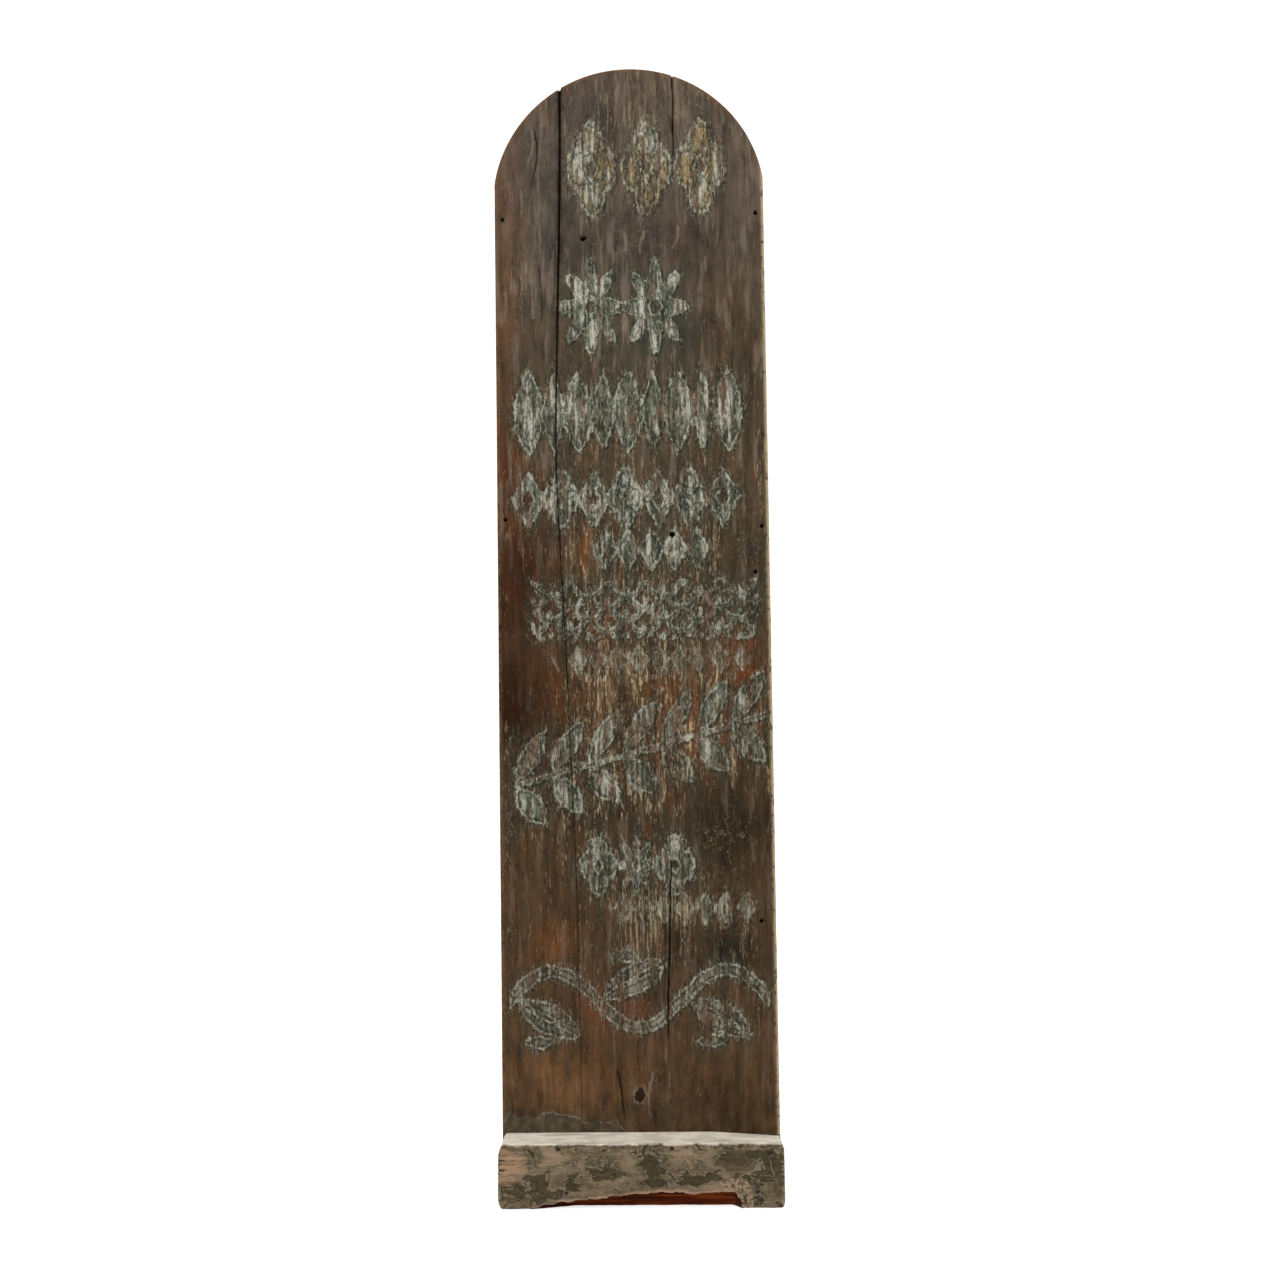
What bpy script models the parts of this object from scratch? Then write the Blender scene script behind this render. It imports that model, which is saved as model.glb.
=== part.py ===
"""Round-topped trade sign board, painted on both faces and standing on a pair of foot rails.

Two planks meet at a bowed upright seam that has shrunk open towards the top. A tongue along the
wide plank runs in a groove in the narrow one. A rail is nailed across the foot of each face, and
the sign stands on the planks' ends and the rails together.

Metres, +Z up. X runs across the width, and the front face looks along -Y. The origin is on the
floor, under the middle of the board.
"""

import math

import bmesh
import bpy
import numpy as np
from mathutils import Matrix

# Board, as both planks together
BOARD_HEIGHT = 1.524
BOARD_WIDTH = 0.369
BOARD_THICKNESS = 0.0286
ARCH_RISE = 0.157
ARCH_STEPS = 90

# Seam between the planks: shares of the board's height, and insets of the gap's middle from its
# left edge. The bends between them are softened over a short length
SEAM_SHARES = (0.0, 0.250, 0.470, 0.645, 0.905, 1.0)
SEAM_INSETS = (0.1075, 0.1035, 0.0920, 0.0795, 0.0905, 0.0910)
SEAM_SOFTENING = 0.075
SEAM_STEP = 0.045
SEAM_GAP_TOP = 0.0044
SEAM_GAP_FOOT = 0.0008
SEAM_OPENING_POWER = 3

# Worn arrises of the board
WORN_ARRIS = 0.0050
ARCH_ARRIS = 0.0018
SEAM_ARRIS = 0.0012
FOOT_ARRIS = 0.0008

# Tongue along the wide plank, and the groove in the narrow one
TONGUE_REACH = 0.0095
TONGUE_THICKNESS = 0.0080
TONGUE_FROM_FRONT = 0.0050
TONGUE_ROOT = 0.004
TONGUE_SETBACK = 0.0015
TONGUE_FIT = 0.0003
GROOVE_SPARE_DEPTH = 0.0010

# Foot rails
RAIL_HEIGHT = 0.0826
RAIL_DEPTH = 0.044
RAIL_OVERHANG = 0.001
RAIL_SEAT_GAP = 0.0003
RAIL_FACE_ARRIS = 0.0026
RAIL_SEAT_ARRIS = 0.0008

# Worn corners of a rail, seen from its own face: (across, up) from lower left, counterclockwise
RAIL_CORNERS = ((0.0080, 0.0160), (0.0060, 0.0110), (0.0040, 0.0140), (0.0085, 0.0240))
CORNER_STEPS = 5

# Worn slope on top of the front rail, at the right: it falls towards the board
SLOPE_FROM_RIGHT = 0.0895
SLOPE_DROP_AT_BOARD = 0.0062
SLOPE_DROP_AT_FACE = 0.0010

# Strip split away along the lower front edge of the front rail
SPLIT_INSET_LEFT = 0.0420
SPLIT_INSET_RIGHT = 0.0545
SPLIT_HEIGHT = 0.0205
SPLIT_DEPTH = 0.012
SPLIT_DEPTH_AT_TOP = 0.0085
SPLIT_RUN_OUT = 0.060
SPLIT_START_DEPTH = 0.0006

# Cracks in the end grain of the front rail, at the left end
CRACK_HEIGHTS = (0.0490, 0.0620)
CRACK_LENGTH = 0.010
CRACK_WIDTH = 0.0014
CRACK_DEPTH = 0.016

# Cut nails, rectangular in section, with their holes
NAIL_LENGTH = 0.0635
NAIL_HEAD_WIDTH = 0.0064
NAIL_HEAD_THICKNESS = 0.0018
NAIL_NECK_WIDTH = 0.0046
NAIL_TIP_WIDTH = 0.0022
NAIL_FLATNESS = 0.66
NAIL_HEAD_SINK = 0.0010
NAIL_FIT = 0.0003
NAIL_TOP_MARGIN = 0.0066
NAIL_FOOT_MARGIN = 0.0202

# Front nails and back nails, as distances from the left or right end of their rail
FRONT_TOP_NAIL_FROM_LEFT = 0.0785
FRONT_MIDDLE_NAIL_FROM_RIGHT = 0.1450
FRONT_END_NAIL_FROM_RIGHT = 0.0190
FRONT_END_NAIL_FROM_TOP = 0.0125
FRONT_FOOT_NAIL_FROM_LEFT = 0.0884
FRONT_FOOT_NAIL_FROM_RIGHT = 0.0351
BACK_TOP_NAIL_FROM_LEFT = 0.0505
BACK_MIDDLE_NAIL_FROM_RIGHT = 0.1810
BACK_TOP_NAIL_FROM_RIGHT = 0.0655
BACK_FOOT_NAIL_FROM_LEFT = 0.0330
BACK_FOOT_NAIL_FROM_RIGHT = 0.1060

# Empty blind holes of lost fixings: two large ones, and small ones near the long edges
LARGE_HOLE_RADIUS = 0.0034
LARGE_HOLE_DEPTH = 0.021
UPPER_HOLE_FROM_LEFT = 0.1212
UPPER_HOLE_HEIGHT = 1.2886
LOWER_HOLE_FROM_RIGHT = 0.1318
LOWER_HOLE_HEIGHT = 0.8789
EDGE_HOLE_RADIUS = 0.0021
EDGE_HOLE_DEPTH = 0.016
EDGE_HOLE_INSET = 0.0105
EDGE_PAIR_HEIGHTS = (1.318, 0.895)
LONE_HOLE_INSET = 0.0195
LONE_HOLE_HEIGHTS = (0.826, 0.358)

# Drying checks in the front face of the wide plank, each as (from the right edge, height) at both ends
CHECK_WIDTH = 0.0018
CHECK_DEPTH = 0.009
FACE_CHECK_TOP = (0.1397, 0.440)
FACE_CHECK_FOOT = (0.1472, 0.202)
END_CHECK_FROM_RIGHT = 0.1225
END_CHECK_LENGTH = 0.125
FOOT_CHECK_TOP = (0.2143, 0.170)
FOOT_CHECK_FOOT = (0.2050, 0.096)

CUT_MARGIN = 0.010
WELD_DISTANCE = 0.00001

# Derived sizes
HALF_WIDTH = BOARD_WIDTH / 2
HALF_THICKNESS = BOARD_THICKNESS / 2
ARCH_RADIUS = (ARCH_RISE**2 + HALF_WIDTH**2) / (2 * ARCH_RISE)
ARCH_CENTRE = BOARD_HEIGHT - ARCH_RADIUS
SPRING_HEIGHT = BOARD_HEIGHT - ARCH_RISE
RAIL_LENGTH = BOARD_WIDTH + 2 * RAIL_OVERHANG
RAIL_FACE = HALF_THICKNESS + RAIL_SEAT_GAP + RAIL_DEPTH

WOOD_BROWN = (0.085, 0.055, 0.037)
WOOD_GREY = (0.21, 0.17, 0.13)
IRON_RUST = (0.075, 0.040, 0.025)


def new_collection(name):
    collection = bpy.data.collections.new(name)
    bpy.context.scene.collection.children.link(collection)
    return collection


def new_material(name, colour, roughness, metallic=0.0):
    material = bpy.data.materials.new(name)
    material.use_nodes = True
    shader = material.node_tree.nodes["Principled BSDF"]
    shader.inputs["Base Color"].default_value = (*colour, 1.0)
    shader.inputs["Roughness"].default_value = roughness
    shader.inputs["Metallic"].default_value = metallic
    material.diffuse_color = (*colour, 1.0)
    return material


def new_object(name, data, collection):
    obj = bpy.data.objects.new(name, data)
    collection.objects.link(obj)
    return obj


def meshed(source, collection):
    """The source's evaluated shape as a welded mesh object of the same name and place."""
    graph = bpy.context.evaluated_depsgraph_get()
    mesh = bpy.data.meshes.new_from_object(source.evaluated_get(graph))
    mesh.materials.clear()
    shape = bmesh.new()
    shape.from_mesh(mesh)
    bmesh.ops.remove_doubles(shape, verts=shape.verts, dist=WELD_DISTANCE)
    flat = math.radians(0.5)
    bmesh.ops.dissolve_limit(shape, angle_limit=flat, verts=shape.verts, edges=shape.edges)
    bmesh.ops.recalc_face_normals(shape, faces=shape.faces)
    shape.to_mesh(mesh)
    shape.free()
    name = source.name
    place = source.matrix_world.copy()
    bpy.data.objects.remove(source)
    solid = new_object(name, mesh, collection)
    solid.matrix_world = place
    return solid


def flat_solid(name, outline, y_low, y_high, collection):
    """An outline of (x, z) points, filled and as thick as the step from y_low to y_high."""
    curve = bpy.data.curves.new(name, "CURVE")
    curve.dimensions = "2D"
    curve.fill_mode = "BOTH"
    curve.extrude = (y_high - y_low) / 2
    spline = curve.splines.new("POLY")
    spline.points.add(len(outline) - 1)
    for point, (x, z) in zip(spline.points, outline):
        point.co = (x, z, 0, 1)
    spline.use_cyclic_u = True
    drawing = new_object(name, curve, collection)
    drawing.location = (0, (y_low + y_high) / 2, 0)
    drawing.rotation_euler = (math.radians(90), 0, 0)
    bpy.context.view_layer.update()
    return meshed(drawing, collection)


def turned_solid(name, profile, steps, collection):
    """A profile of (radius, height) points, top to bottom, turned about Z in so many steps."""
    mesh = bpy.data.meshes.new(name)
    points = [(radius, 0, height) for radius, height in profile]
    mesh.from_pydata(points, [(i, i + 1) for i in range(len(points) - 1)], [])
    line = new_object(name, mesh, collection)
    screw = line.modifiers.new("turn", "SCREW")
    screw.steps = steps
    screw.render_steps = steps
    screw.use_merge_vertices = True
    screw.merge_threshold = WELD_DISTANCE
    bpy.context.view_layer.update()
    return meshed(line, collection)


def joined_copies(name, pattern, places, collection):
    """One cutter made of copies of the pattern's mesh, one at each place matrix."""
    shape = bmesh.new()
    for place in places:
        copy = pattern.data.copy()
        copy.transform(place)
        shape.from_mesh(copy)
        bpy.data.meshes.remove(copy)
    mesh = bpy.data.meshes.new(name)
    shape.to_mesh(mesh)
    shape.free()
    bpy.data.objects.remove(pattern)
    return new_object(name, mesh, collection)


def cut(target, cutter):
    difference = target.modifiers.new("cut_" + cutter.name, "BOOLEAN")
    difference.operation = "DIFFERENCE"
    difference.solver = "EXACT"
    difference.object = cutter


def mark_cutter(cutter):
    cutter.display_type = "WIRE"
    cutter.hide_render = True
    return cutter


def weighted_bevel(obj, widths, segments):
    """Rounds each edge to the width that widths(edge) gives for it, and leaves an edge with 0."""
    shape = bmesh.new()
    shape.from_mesh(obj.data)
    layer = shape.edges.layers.float.new("bevel_weight_edge")
    found = {edge: widths(edge) for edge in shape.edges}
    widest = max(found.values())
    for edge, width in found.items():
        edge[layer] = width / widest
    shape.to_mesh(obj.data)
    shape.free()
    bevel = obj.modifiers.new("worn_arris", "BEVEL")
    bevel.limit_method = "WEIGHT"
    bevel.width = widest
    bevel.segments = segments
    obj.modifiers.new("facets", "TRIANGULATE")


def middle_of(edge):
    return (edge.verts[0].co + edge.verts[1].co) / 2


# Board outline and seam


def arch_height(x):
    """Height of the arch's outline over a point x."""
    return ARCH_CENTRE + math.sqrt(max(ARCH_RADIUS**2 - x**2, 0.0))


def seam_x(height):
    """Middle of the open seam at a height: the broken line through its insets, averaged over
    the softening length."""
    window = [height + SEAM_SOFTENING * (i / 8 - 1) for i in range(17)]
    insets = np.interp([z / BOARD_HEIGHT for z in window], SEAM_SHARES, SEAM_INSETS)
    return -HALF_WIDTH + float(insets.mean())


def seam_gap(height):
    """Width of the open seam at a height. It opens with a power of the height."""
    share = max(height / BOARD_HEIGHT, 0.0) ** SEAM_OPENING_POWER
    return SEAM_GAP_FOOT + (SEAM_GAP_TOP - SEAM_GAP_FOOT) * share


def seam_edge(height, side):
    """A plank's edge at the seam: side is -1 for the narrow plank and +1 for the wide one."""
    return seam_x(height) + side * seam_gap(height) / 2


def seam_meets_arch(side):
    """Angle about the arch's centre at which a plank's seam edge meets the arch."""
    height = BOARD_HEIGHT
    for _ in range(20):
        height = arch_height(seam_edge(height, side))
    return math.atan2(height - ARCH_CENTRE, seam_edge(height, side))


def arch_points(start, end):
    """Points on the arch from one angle to another, in even steps."""
    turn = end - start
    count = max(2, round(ARCH_STEPS * abs(turn) / math.pi))
    angles = [start + turn * i / count for i in range(count + 1)]
    return [(ARCH_RADIUS * math.cos(a), ARCH_CENTRE + ARCH_RADIUS * math.sin(a)) for a in angles]


def spring_angle():
    """Angle about the arch's centre of the right-hand end of the arch."""
    return math.atan2(SPRING_HEIGHT - ARCH_CENTRE, HALF_WIDTH)


def seam_points(side, top):
    """Points up a plank's seam edge, from the foot to just below a height."""
    count = round(top / SEAM_STEP)
    heights = [top * i / count for i in range(count)]
    return [(seam_edge(z, side), z) for z in heights]


def narrow_plank_outline():
    start = seam_meets_arch(-1)
    arch = arch_points(start, math.pi - spring_angle())
    return [(-HALF_WIDTH, 0), *seam_points(-1, arch[0][1]), *arch]


def wide_plank_outline():
    arch = arch_points(spring_angle(), seam_meets_arch(1))
    return [(HALF_WIDTH, 0), *arch, *reversed(seam_points(1, arch[-1][1]))]


def plank_arris(edge):
    """Arris width of a plank's edge. The plank's own axes are x, height and thickness."""
    a, b = edge.verts[0].co, edge.verts[1].co
    if abs(a.z - b.z) > HALF_THICKNESS:
        return 0.0
    middle = middle_of(edge)
    if middle.y < WELD_DISTANCE:
        return FOOT_ARRIS
    beside_seam = abs(middle.x - seam_x(middle.y)) < seam_gap(middle.y)
    if beside_seam and abs(a.y - b.y) > abs(a.x - b.x):
        return SEAM_ARRIS
    if middle.y < SPRING_HEIGHT:
        return WORN_ARRIS if middle.x > 0 else ARCH_ARRIS
    worn_share = max(0.0, middle.x / HALF_WIDTH) ** 3
    return ARCH_ARRIS + (WORN_ARRIS - ARCH_ARRIS) * worn_share


def new_plank(name, outline, collection, material):
    plank = flat_solid(name, outline, -HALF_THICKNESS, HALF_THICKNESS, collection)
    plank.data.materials.append(material)
    weighted_bevel(plank, plank_arris, 3)
    return plank


# Tongue and groove along the seam


def seam_strip(left, right, foot, top_left, top_right):
    """Outline of a strip along the seam. Its edges lie left and right of the wide plank's seam
    edge, and its top may slope."""
    count = round(top_left / SEAM_STEP)
    rises = [i / count for i in range(count + 1)]
    up_right = [foot + (top_right - foot) * share for share in rises]
    up_left = [foot + (top_left - foot) * share for share in rises]
    right_edge = [(seam_edge(z, 1) + right, z) for z in up_right]
    left_edge = [(seam_edge(z, 1) - left, z) for z in up_left]
    return [*right_edge, *reversed(left_edge)]


def tongue_faces(spare):
    """Where the front and back of the tongue lie, grown by spare."""
    front = -HALF_THICKNESS + TONGUE_FROM_FRONT
    return front - spare, front + TONGUE_THICKNESS + spare


def add_tongue(plank, collection):
    """Joins the tongue to the wide plank. It ends a little below the arch."""
    crown = arch_height(seam_edge(SPRING_HEIGHT, 1))
    top_left = arch_height(seam_edge(crown, 1) - TONGUE_REACH) - TONGUE_SETBACK
    top_right = arch_height(seam_edge(crown, 1) + TONGUE_ROOT) - TONGUE_SETBACK
    outline = seam_strip(TONGUE_REACH, TONGUE_ROOT, TONGUE_SETBACK, top_left, top_right)
    tongue = mark_cutter(flat_solid("tongue", outline, *tongue_faces(0.0), collection))
    union = plank.modifiers.new("join_tongue", "BOOLEAN")
    union.operation = "UNION"
    union.solver = "EXACT"
    union.object = tongue


def groove_cutter(collection):
    reach = TONGUE_REACH + GROOVE_SPARE_DEPTH
    top = BOARD_HEIGHT + CUT_MARGIN
    outline = seam_strip(reach, CUT_MARGIN, -CUT_MARGIN, top, top)
    return mark_cutter(flat_solid("groove", outline, *tongue_faces(TONGUE_FIT), collection))


# Holes and checks in the planks


def drill_cutter(name, spots, radius, y_low, y_high, collection):
    """One cutter of round holes along Y, with its middles at the (x, z) spots."""
    shape = bmesh.new()
    lie = Matrix.Rotation(math.radians(90), 4, "X")
    for x, z in spots:
        bmesh.ops.create_cone(
            shape,
            cap_ends=True,
            segments=12,
            radius1=radius,
            radius2=radius,
            depth=y_high - y_low,
            matrix=Matrix.Translation((x, (y_low + y_high) / 2, z)) @ lie,
        )
    mesh = bpy.data.meshes.new(name)
    shape.to_mesh(mesh)
    shape.free()
    return mark_cutter(new_object(name, mesh, collection))


def fixing_hole_cutters(collection):
    """Cutters of the empty holes, which open to the front face and end inside the board."""
    left, right = -HALF_WIDTH, HALF_WIDTH
    front = -HALF_THICKNESS - CUT_MARGIN
    large = [
        (left + UPPER_HOLE_FROM_LEFT, UPPER_HOLE_HEIGHT),
        (right - LOWER_HOLE_FROM_RIGHT, LOWER_HOLE_HEIGHT),
    ]
    small = [(left + EDGE_HOLE_INSET, z) for z in EDGE_PAIR_HEIGHTS]
    small += [(right - EDGE_HOLE_INSET, z) for z in EDGE_PAIR_HEIGHTS]
    small += [(right - LONE_HOLE_INSET, z) for z in LONE_HOLE_HEIGHTS]
    large_floor = -HALF_THICKNESS + LARGE_HOLE_DEPTH
    small_floor = -HALF_THICKNESS + EDGE_HOLE_DEPTH
    return [
        drill_cutter("large_holes", large, LARGE_HOLE_RADIUS, front, large_floor, collection),
        drill_cutter("edge_holes", small, EDGE_HOLE_RADIUS, front, small_floor, collection),
    ]


def lens_outline(top, foot, width):
    """A slit from one (x, z) point to another, widest in its middle."""
    x = (top[0] + foot[0]) / 2
    z = (top[1] + foot[1]) / 2
    return [top, (x - width / 2, z), foot, (x + width / 2, z)]


def check_cutters(collection):
    """The drying checks, open to the front face of the wide plank."""
    front = -HALF_THICKNESS - CUT_MARGIN
    floor = -HALF_THICKNESS + CHECK_DEPTH
    end_x = HALF_WIDTH - END_CHECK_FROM_RIGHT
    end_top = arch_height(end_x)
    slits = {
        "face_check": [(HALF_WIDTH - x, z) for x, z in (FACE_CHECK_TOP, FACE_CHECK_FOOT)],
        "end_check": [(end_x, end_top + END_CHECK_LENGTH), (end_x, end_top - END_CHECK_LENGTH)],
        "foot_check": [(HALF_WIDTH - x, z) for x, z in (FOOT_CHECK_TOP, FOOT_CHECK_FOOT)],
    }
    made = []
    for name, (top, foot) in slits.items():
        outline = lens_outline(top, foot, CHECK_WIDTH)
        made.append(mark_cutter(flat_solid(name, outline, front, floor, collection)))
    return made


# Foot rails


def rail_outline():
    """Outline of a rail's face, with a quarter of an ellipse at each worn corner."""
    half = RAIL_LENGTH / 2
    signs = ((-1, -1), (1, -1), (1, 1), (-1, 1))
    points = []
    for quarter, ((across, up), (side, rise)) in enumerate(zip(RAIL_CORNERS, signs)):
        centre_x = side * (half - across)
        centre_z = up if rise < 0 else RAIL_HEIGHT - up
        for step in range(CORNER_STEPS + 1):
            angle = math.pi + math.pi / 2 * (quarter + step / CORNER_STEPS)
            points.append((centre_x + across * math.cos(angle), centre_z + up * math.sin(angle)))
    return points


def rail_arris(edge):
    """Arris width of a rail's edge. The rail's own axes are length, height and depth, and its
    face is at the highest z."""
    a, b = edge.verts[0].co, edge.verts[1].co
    if abs(a.z - b.z) > RAIL_DEPTH / 2:
        return 0.0
    return RAIL_FACE_ARRIS if a.z > 0 else RAIL_SEAT_ARRIS


def new_rail(name, facing, collection, material):
    """A rail for the face that looks along facing (-1 front, +1 back)."""
    rail = flat_solid(name, rail_outline(), -RAIL_FACE, RAIL_DEPTH - RAIL_FACE, collection)
    rail.data.materials.append(material)
    weighted_bevel(rail, rail_arris, 3)
    if facing > 0:
        rail.matrix_world = Matrix.Rotation(math.pi, 4, "Z") @ rail.matrix_world
    return rail


def slope_cutter(collection):
    """A block whose underside lies on the worn slope of the front rail's top."""
    run = math.atan2(SLOPE_DROP_AT_BOARD, SLOPE_FROM_RIGHT)
    tilt = math.atan2(SLOPE_DROP_AT_BOARD - SLOPE_DROP_AT_FACE, RAIL_DEPTH)
    start = (RAIL_LENGTH / 2 - SLOPE_FROM_RIGHT, RAIL_DEPTH - RAIL_FACE, RAIL_HEIGHT)
    turn = Matrix.Rotation(-tilt, 4, "X") @ Matrix.Rotation(run, 4, "Y")
    size = Matrix.Diagonal((4 * SLOPE_FROM_RIGHT, 4 * RAIL_DEPTH, RAIL_HEIGHT, 1))
    shape = bmesh.new()
    bmesh.ops.create_cube(shape, size=1)
    shape.transform(Matrix.Translation(start) @ turn @ size @ Matrix.Translation((0, 0, 0.5)))
    mesh = bpy.data.meshes.new("worn_slope")
    shape.to_mesh(mesh)
    shape.free()
    return mark_cutter(new_object("worn_slope", mesh, collection))


def split_outline():
    """The split's outline on the rail's face: it rises slowly from the left and ends steeply."""
    left = -RAIL_LENGTH / 2 + SPLIT_INSET_LEFT
    right = RAIL_LENGTH / 2 - SPLIT_INSET_RIGHT
    shares = ((0.0, 0.0), (0.07, 0.20), (0.13, 0.38), (0.21, 0.48), (0.31, 0.62), (0.41, 0.78))
    shares += ((0.52, 0.91), (0.67, 1.0), (0.77, 0.88), (0.89, 0.98), (0.95, 0.96), (0.978, 0.54))
    arch = [(left + x * (right - left), z * SPLIT_HEIGHT) for x, z in (*shares, (1.0, 0.0))]
    return [(right, -CUT_MARGIN), (left + SPLIT_RUN_OUT, -CUT_MARGIN), (left, -CUT_MARGIN), *arch]


def split_cutter(collection):
    """The split strip. Its floor leans, so that it is shallower at its top than at its foot, and
    it runs out to the rail's face at its left end."""
    front = -RAIL_FACE - CUT_MARGIN
    floor = -RAIL_FACE + SPLIT_DEPTH
    strip = flat_solid("rail_split", split_outline(), front, floor, collection)
    lean = (SPLIT_DEPTH - SPLIT_DEPTH_AT_TOP) / SPLIT_HEIGHT
    start = -RAIL_LENGTH / 2 + SPLIT_INSET_LEFT
    shape = bmesh.new()
    shape.from_mesh(strip.data)
    inner = min(v.co.z for v in shape.verts)
    for vertex in shape.verts:
        if vertex.co.z < inner + WELD_DISTANCE:
            share = min((vertex.co.x - start) / SPLIT_RUN_OUT, 1.0)
            depth = SPLIT_DEPTH - lean * max(vertex.co.y, 0.0) - SPLIT_START_DEPTH
            vertex.co.z = inner + SPLIT_DEPTH - SPLIT_START_DEPTH - depth * share
    bmesh.ops.triangulate(shape, faces=shape.faces)
    shape.to_mesh(strip.data)
    shape.free()
    return mark_cutter(strip)


def crack_cutters(collection):
    """Wedge-shaped cracks that run in from the left end of the front rail."""
    end = -RAIL_LENGTH / 2
    front = -RAIL_FACE - CUT_MARGIN
    floor = -RAIL_FACE + CRACK_DEPTH
    made = []
    for i, z in enumerate(CRACK_HEIGHTS):
        outline = [
            (end - CUT_MARGIN, z - CRACK_WIDTH),
            (end + CRACK_LENGTH, z),
            (end - CUT_MARGIN, z + CRACK_WIDTH),
        ]
        name = "end_crack_%d" % (i + 1)
        made.append(mark_cutter(flat_solid(name, outline, front, floor, collection)))
    return made


# Cut nails


def nail_profile(spare):
    """Half outline, along a diagonal, of a nail that points down, with its head's top at 0,
    grown by spare."""
    top = NAIL_HEAD_SINK + CUT_MARGIN if spare else 0.0
    grown = spare / NAIL_FLATNESS
    head, neck, tip = (
        (width / 2 + grown) * math.sqrt(2)
        for width in (NAIL_HEAD_WIDTH, NAIL_NECK_WIDTH, NAIL_TIP_WIDTH)
    )
    return [
        (0.0, top),
        (head, top),
        (head, -NAIL_HEAD_THICKNESS - spare),
        (neck, -NAIL_HEAD_THICKNESS - spare),
        (tip, -NAIL_LENGTH - spare),
        (0.0, -NAIL_LENGTH - spare),
    ]


def nail_pattern(name, spare, collection):
    """A nail that points down, turned in four steps and then flattened."""
    nail = turned_solid(name, nail_profile(spare), 4, collection)
    square_up = Matrix.Rotation(math.radians(45), 4, "Z")
    nail.data.transform(Matrix.Diagonal((1, NAIL_FLATNESS, 1, 1)) @ square_up)
    return nail


def nail_places(facing, spots):
    """Matrices that drive a nail into the rail of one face, at each (x, z) spot."""
    turn = Matrix.Rotation(math.radians(-90 * facing), 4, "X")
    head = facing * (RAIL_FACE - NAIL_HEAD_SINK)
    return [Matrix.Translation((x, head, z)) @ turn for x, z in spots]


def nail_spots(facing):
    """(x, z) of each nail of a rail, seen from the front."""
    left, right = -RAIL_LENGTH / 2, RAIL_LENGTH / 2
    top = RAIL_HEIGHT - NAIL_TOP_MARGIN
    foot = NAIL_FOOT_MARGIN
    if facing < 0:
        return [
            (left + FRONT_TOP_NAIL_FROM_LEFT, top),
            (right - FRONT_MIDDLE_NAIL_FROM_RIGHT, top),
            (right - FRONT_END_NAIL_FROM_RIGHT, RAIL_HEIGHT - FRONT_END_NAIL_FROM_TOP),
            (left + FRONT_FOOT_NAIL_FROM_LEFT, foot),
            (right - FRONT_FOOT_NAIL_FROM_RIGHT, foot),
        ]
    return [
        (left + BACK_TOP_NAIL_FROM_LEFT, top),
        (right - BACK_MIDDLE_NAIL_FROM_RIGHT, top),
        (right - BACK_TOP_NAIL_FROM_RIGHT, top),
        (left + BACK_FOOT_NAIL_FROM_LEFT, foot),
        (right - BACK_FOOT_NAIL_FROM_RIGHT, foot),
    ]


def new_nails(name, facing, collection, material):
    """The nails of one rail, each an object of its own on one shared mesh."""
    pattern = nail_pattern(name, 0.0, collection)
    pattern.data.materials.append(material)
    for i, place in enumerate(nail_places(facing, nail_spots(facing))):
        nail = new_object("%s_%d" % (name, i + 1), pattern.data, collection)
        nail.matrix_world = place
    bpy.data.objects.remove(pattern)


def nail_cutter(name, facing, collection):
    places = nail_places(facing, nail_spots(facing))
    pattern = nail_pattern(name, NAIL_FIT, collection)
    return mark_cutter(joined_copies(name, pattern, places, collection))


def build():
    for old in list(bpy.data.objects):
        bpy.data.objects.remove(old)
    parts = new_collection("trade_sign")
    cutters = new_collection("cutters")

    painted = new_material("painted_board", WOOD_BROWN, 0.62)
    weathered = new_material("weathered_rail", WOOD_GREY, 0.75)
    iron = new_material("rusted_iron", IRON_RUST, 0.80, 0.35)

    narrow = new_plank("narrow_plank", narrow_plank_outline(), parts, painted)
    wide = new_plank("wide_plank", wide_plank_outline(), parts, painted)
    add_tongue(wide, cutters)
    cut(narrow, groove_cutter(cutters))
    for holes in fixing_hole_cutters(cutters):
        for plank in (narrow, wide):
            cut(plank, holes)
    for check in check_cutters(cutters):
        cut(wide, check)

    front_rail = new_rail("front_rail", -1, parts, weathered)
    back_rail = new_rail("back_rail", 1, parts, weathered)
    cut(front_rail, slope_cutter(cutters))
    cut(front_rail, split_cutter(cutters))
    for crack in crack_cutters(cutters):
        cut(front_rail, crack)

    for side, facing in (("front", -1), ("back", 1)):
        new_nails(side + "_nail", facing, parts, iron)
        holes = nail_cutter(side + "_nail_holes", facing, cutters)
        for wood in (front_rail, back_rail, narrow, wide):
            cut(wood, holes)

    for part in parts.objects:
        part.data.shade_smooth()
        part.data.set_sharp_from_angle(angle=math.radians(35))


build()
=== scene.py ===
"""Painted sign board on two foot rails: the worn surfaces that stand for its solids, and the studio.

Lengths are metres and +Z is up. The front face looks along -Y. Each plank and each rail is one closed
surface: a front sheet, a rim carried round its outline, and a back sheet with half as many lines.
"""

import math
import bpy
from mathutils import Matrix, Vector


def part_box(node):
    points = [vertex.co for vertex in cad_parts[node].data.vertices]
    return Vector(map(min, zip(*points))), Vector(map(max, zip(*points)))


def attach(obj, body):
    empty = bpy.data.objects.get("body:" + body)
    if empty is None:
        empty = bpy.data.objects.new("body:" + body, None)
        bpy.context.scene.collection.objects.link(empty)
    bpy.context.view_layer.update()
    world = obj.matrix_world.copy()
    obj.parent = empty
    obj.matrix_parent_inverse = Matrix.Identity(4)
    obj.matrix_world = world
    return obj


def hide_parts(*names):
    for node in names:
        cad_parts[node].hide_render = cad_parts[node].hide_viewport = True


bl_info = {
    "name": "Painted Sign Board",
    "version": (1, 0, 0),
    "blender": (4, 5, 0),
    "location": "View3D > Sidebar > Sign Board",
    "description": "Builds the worn planks, rails and nails of a tall painted sign board, and its studio",
    "category": "Object",
}

import bpy
import numpy as np
from mathutils import Matrix, Vector

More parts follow.
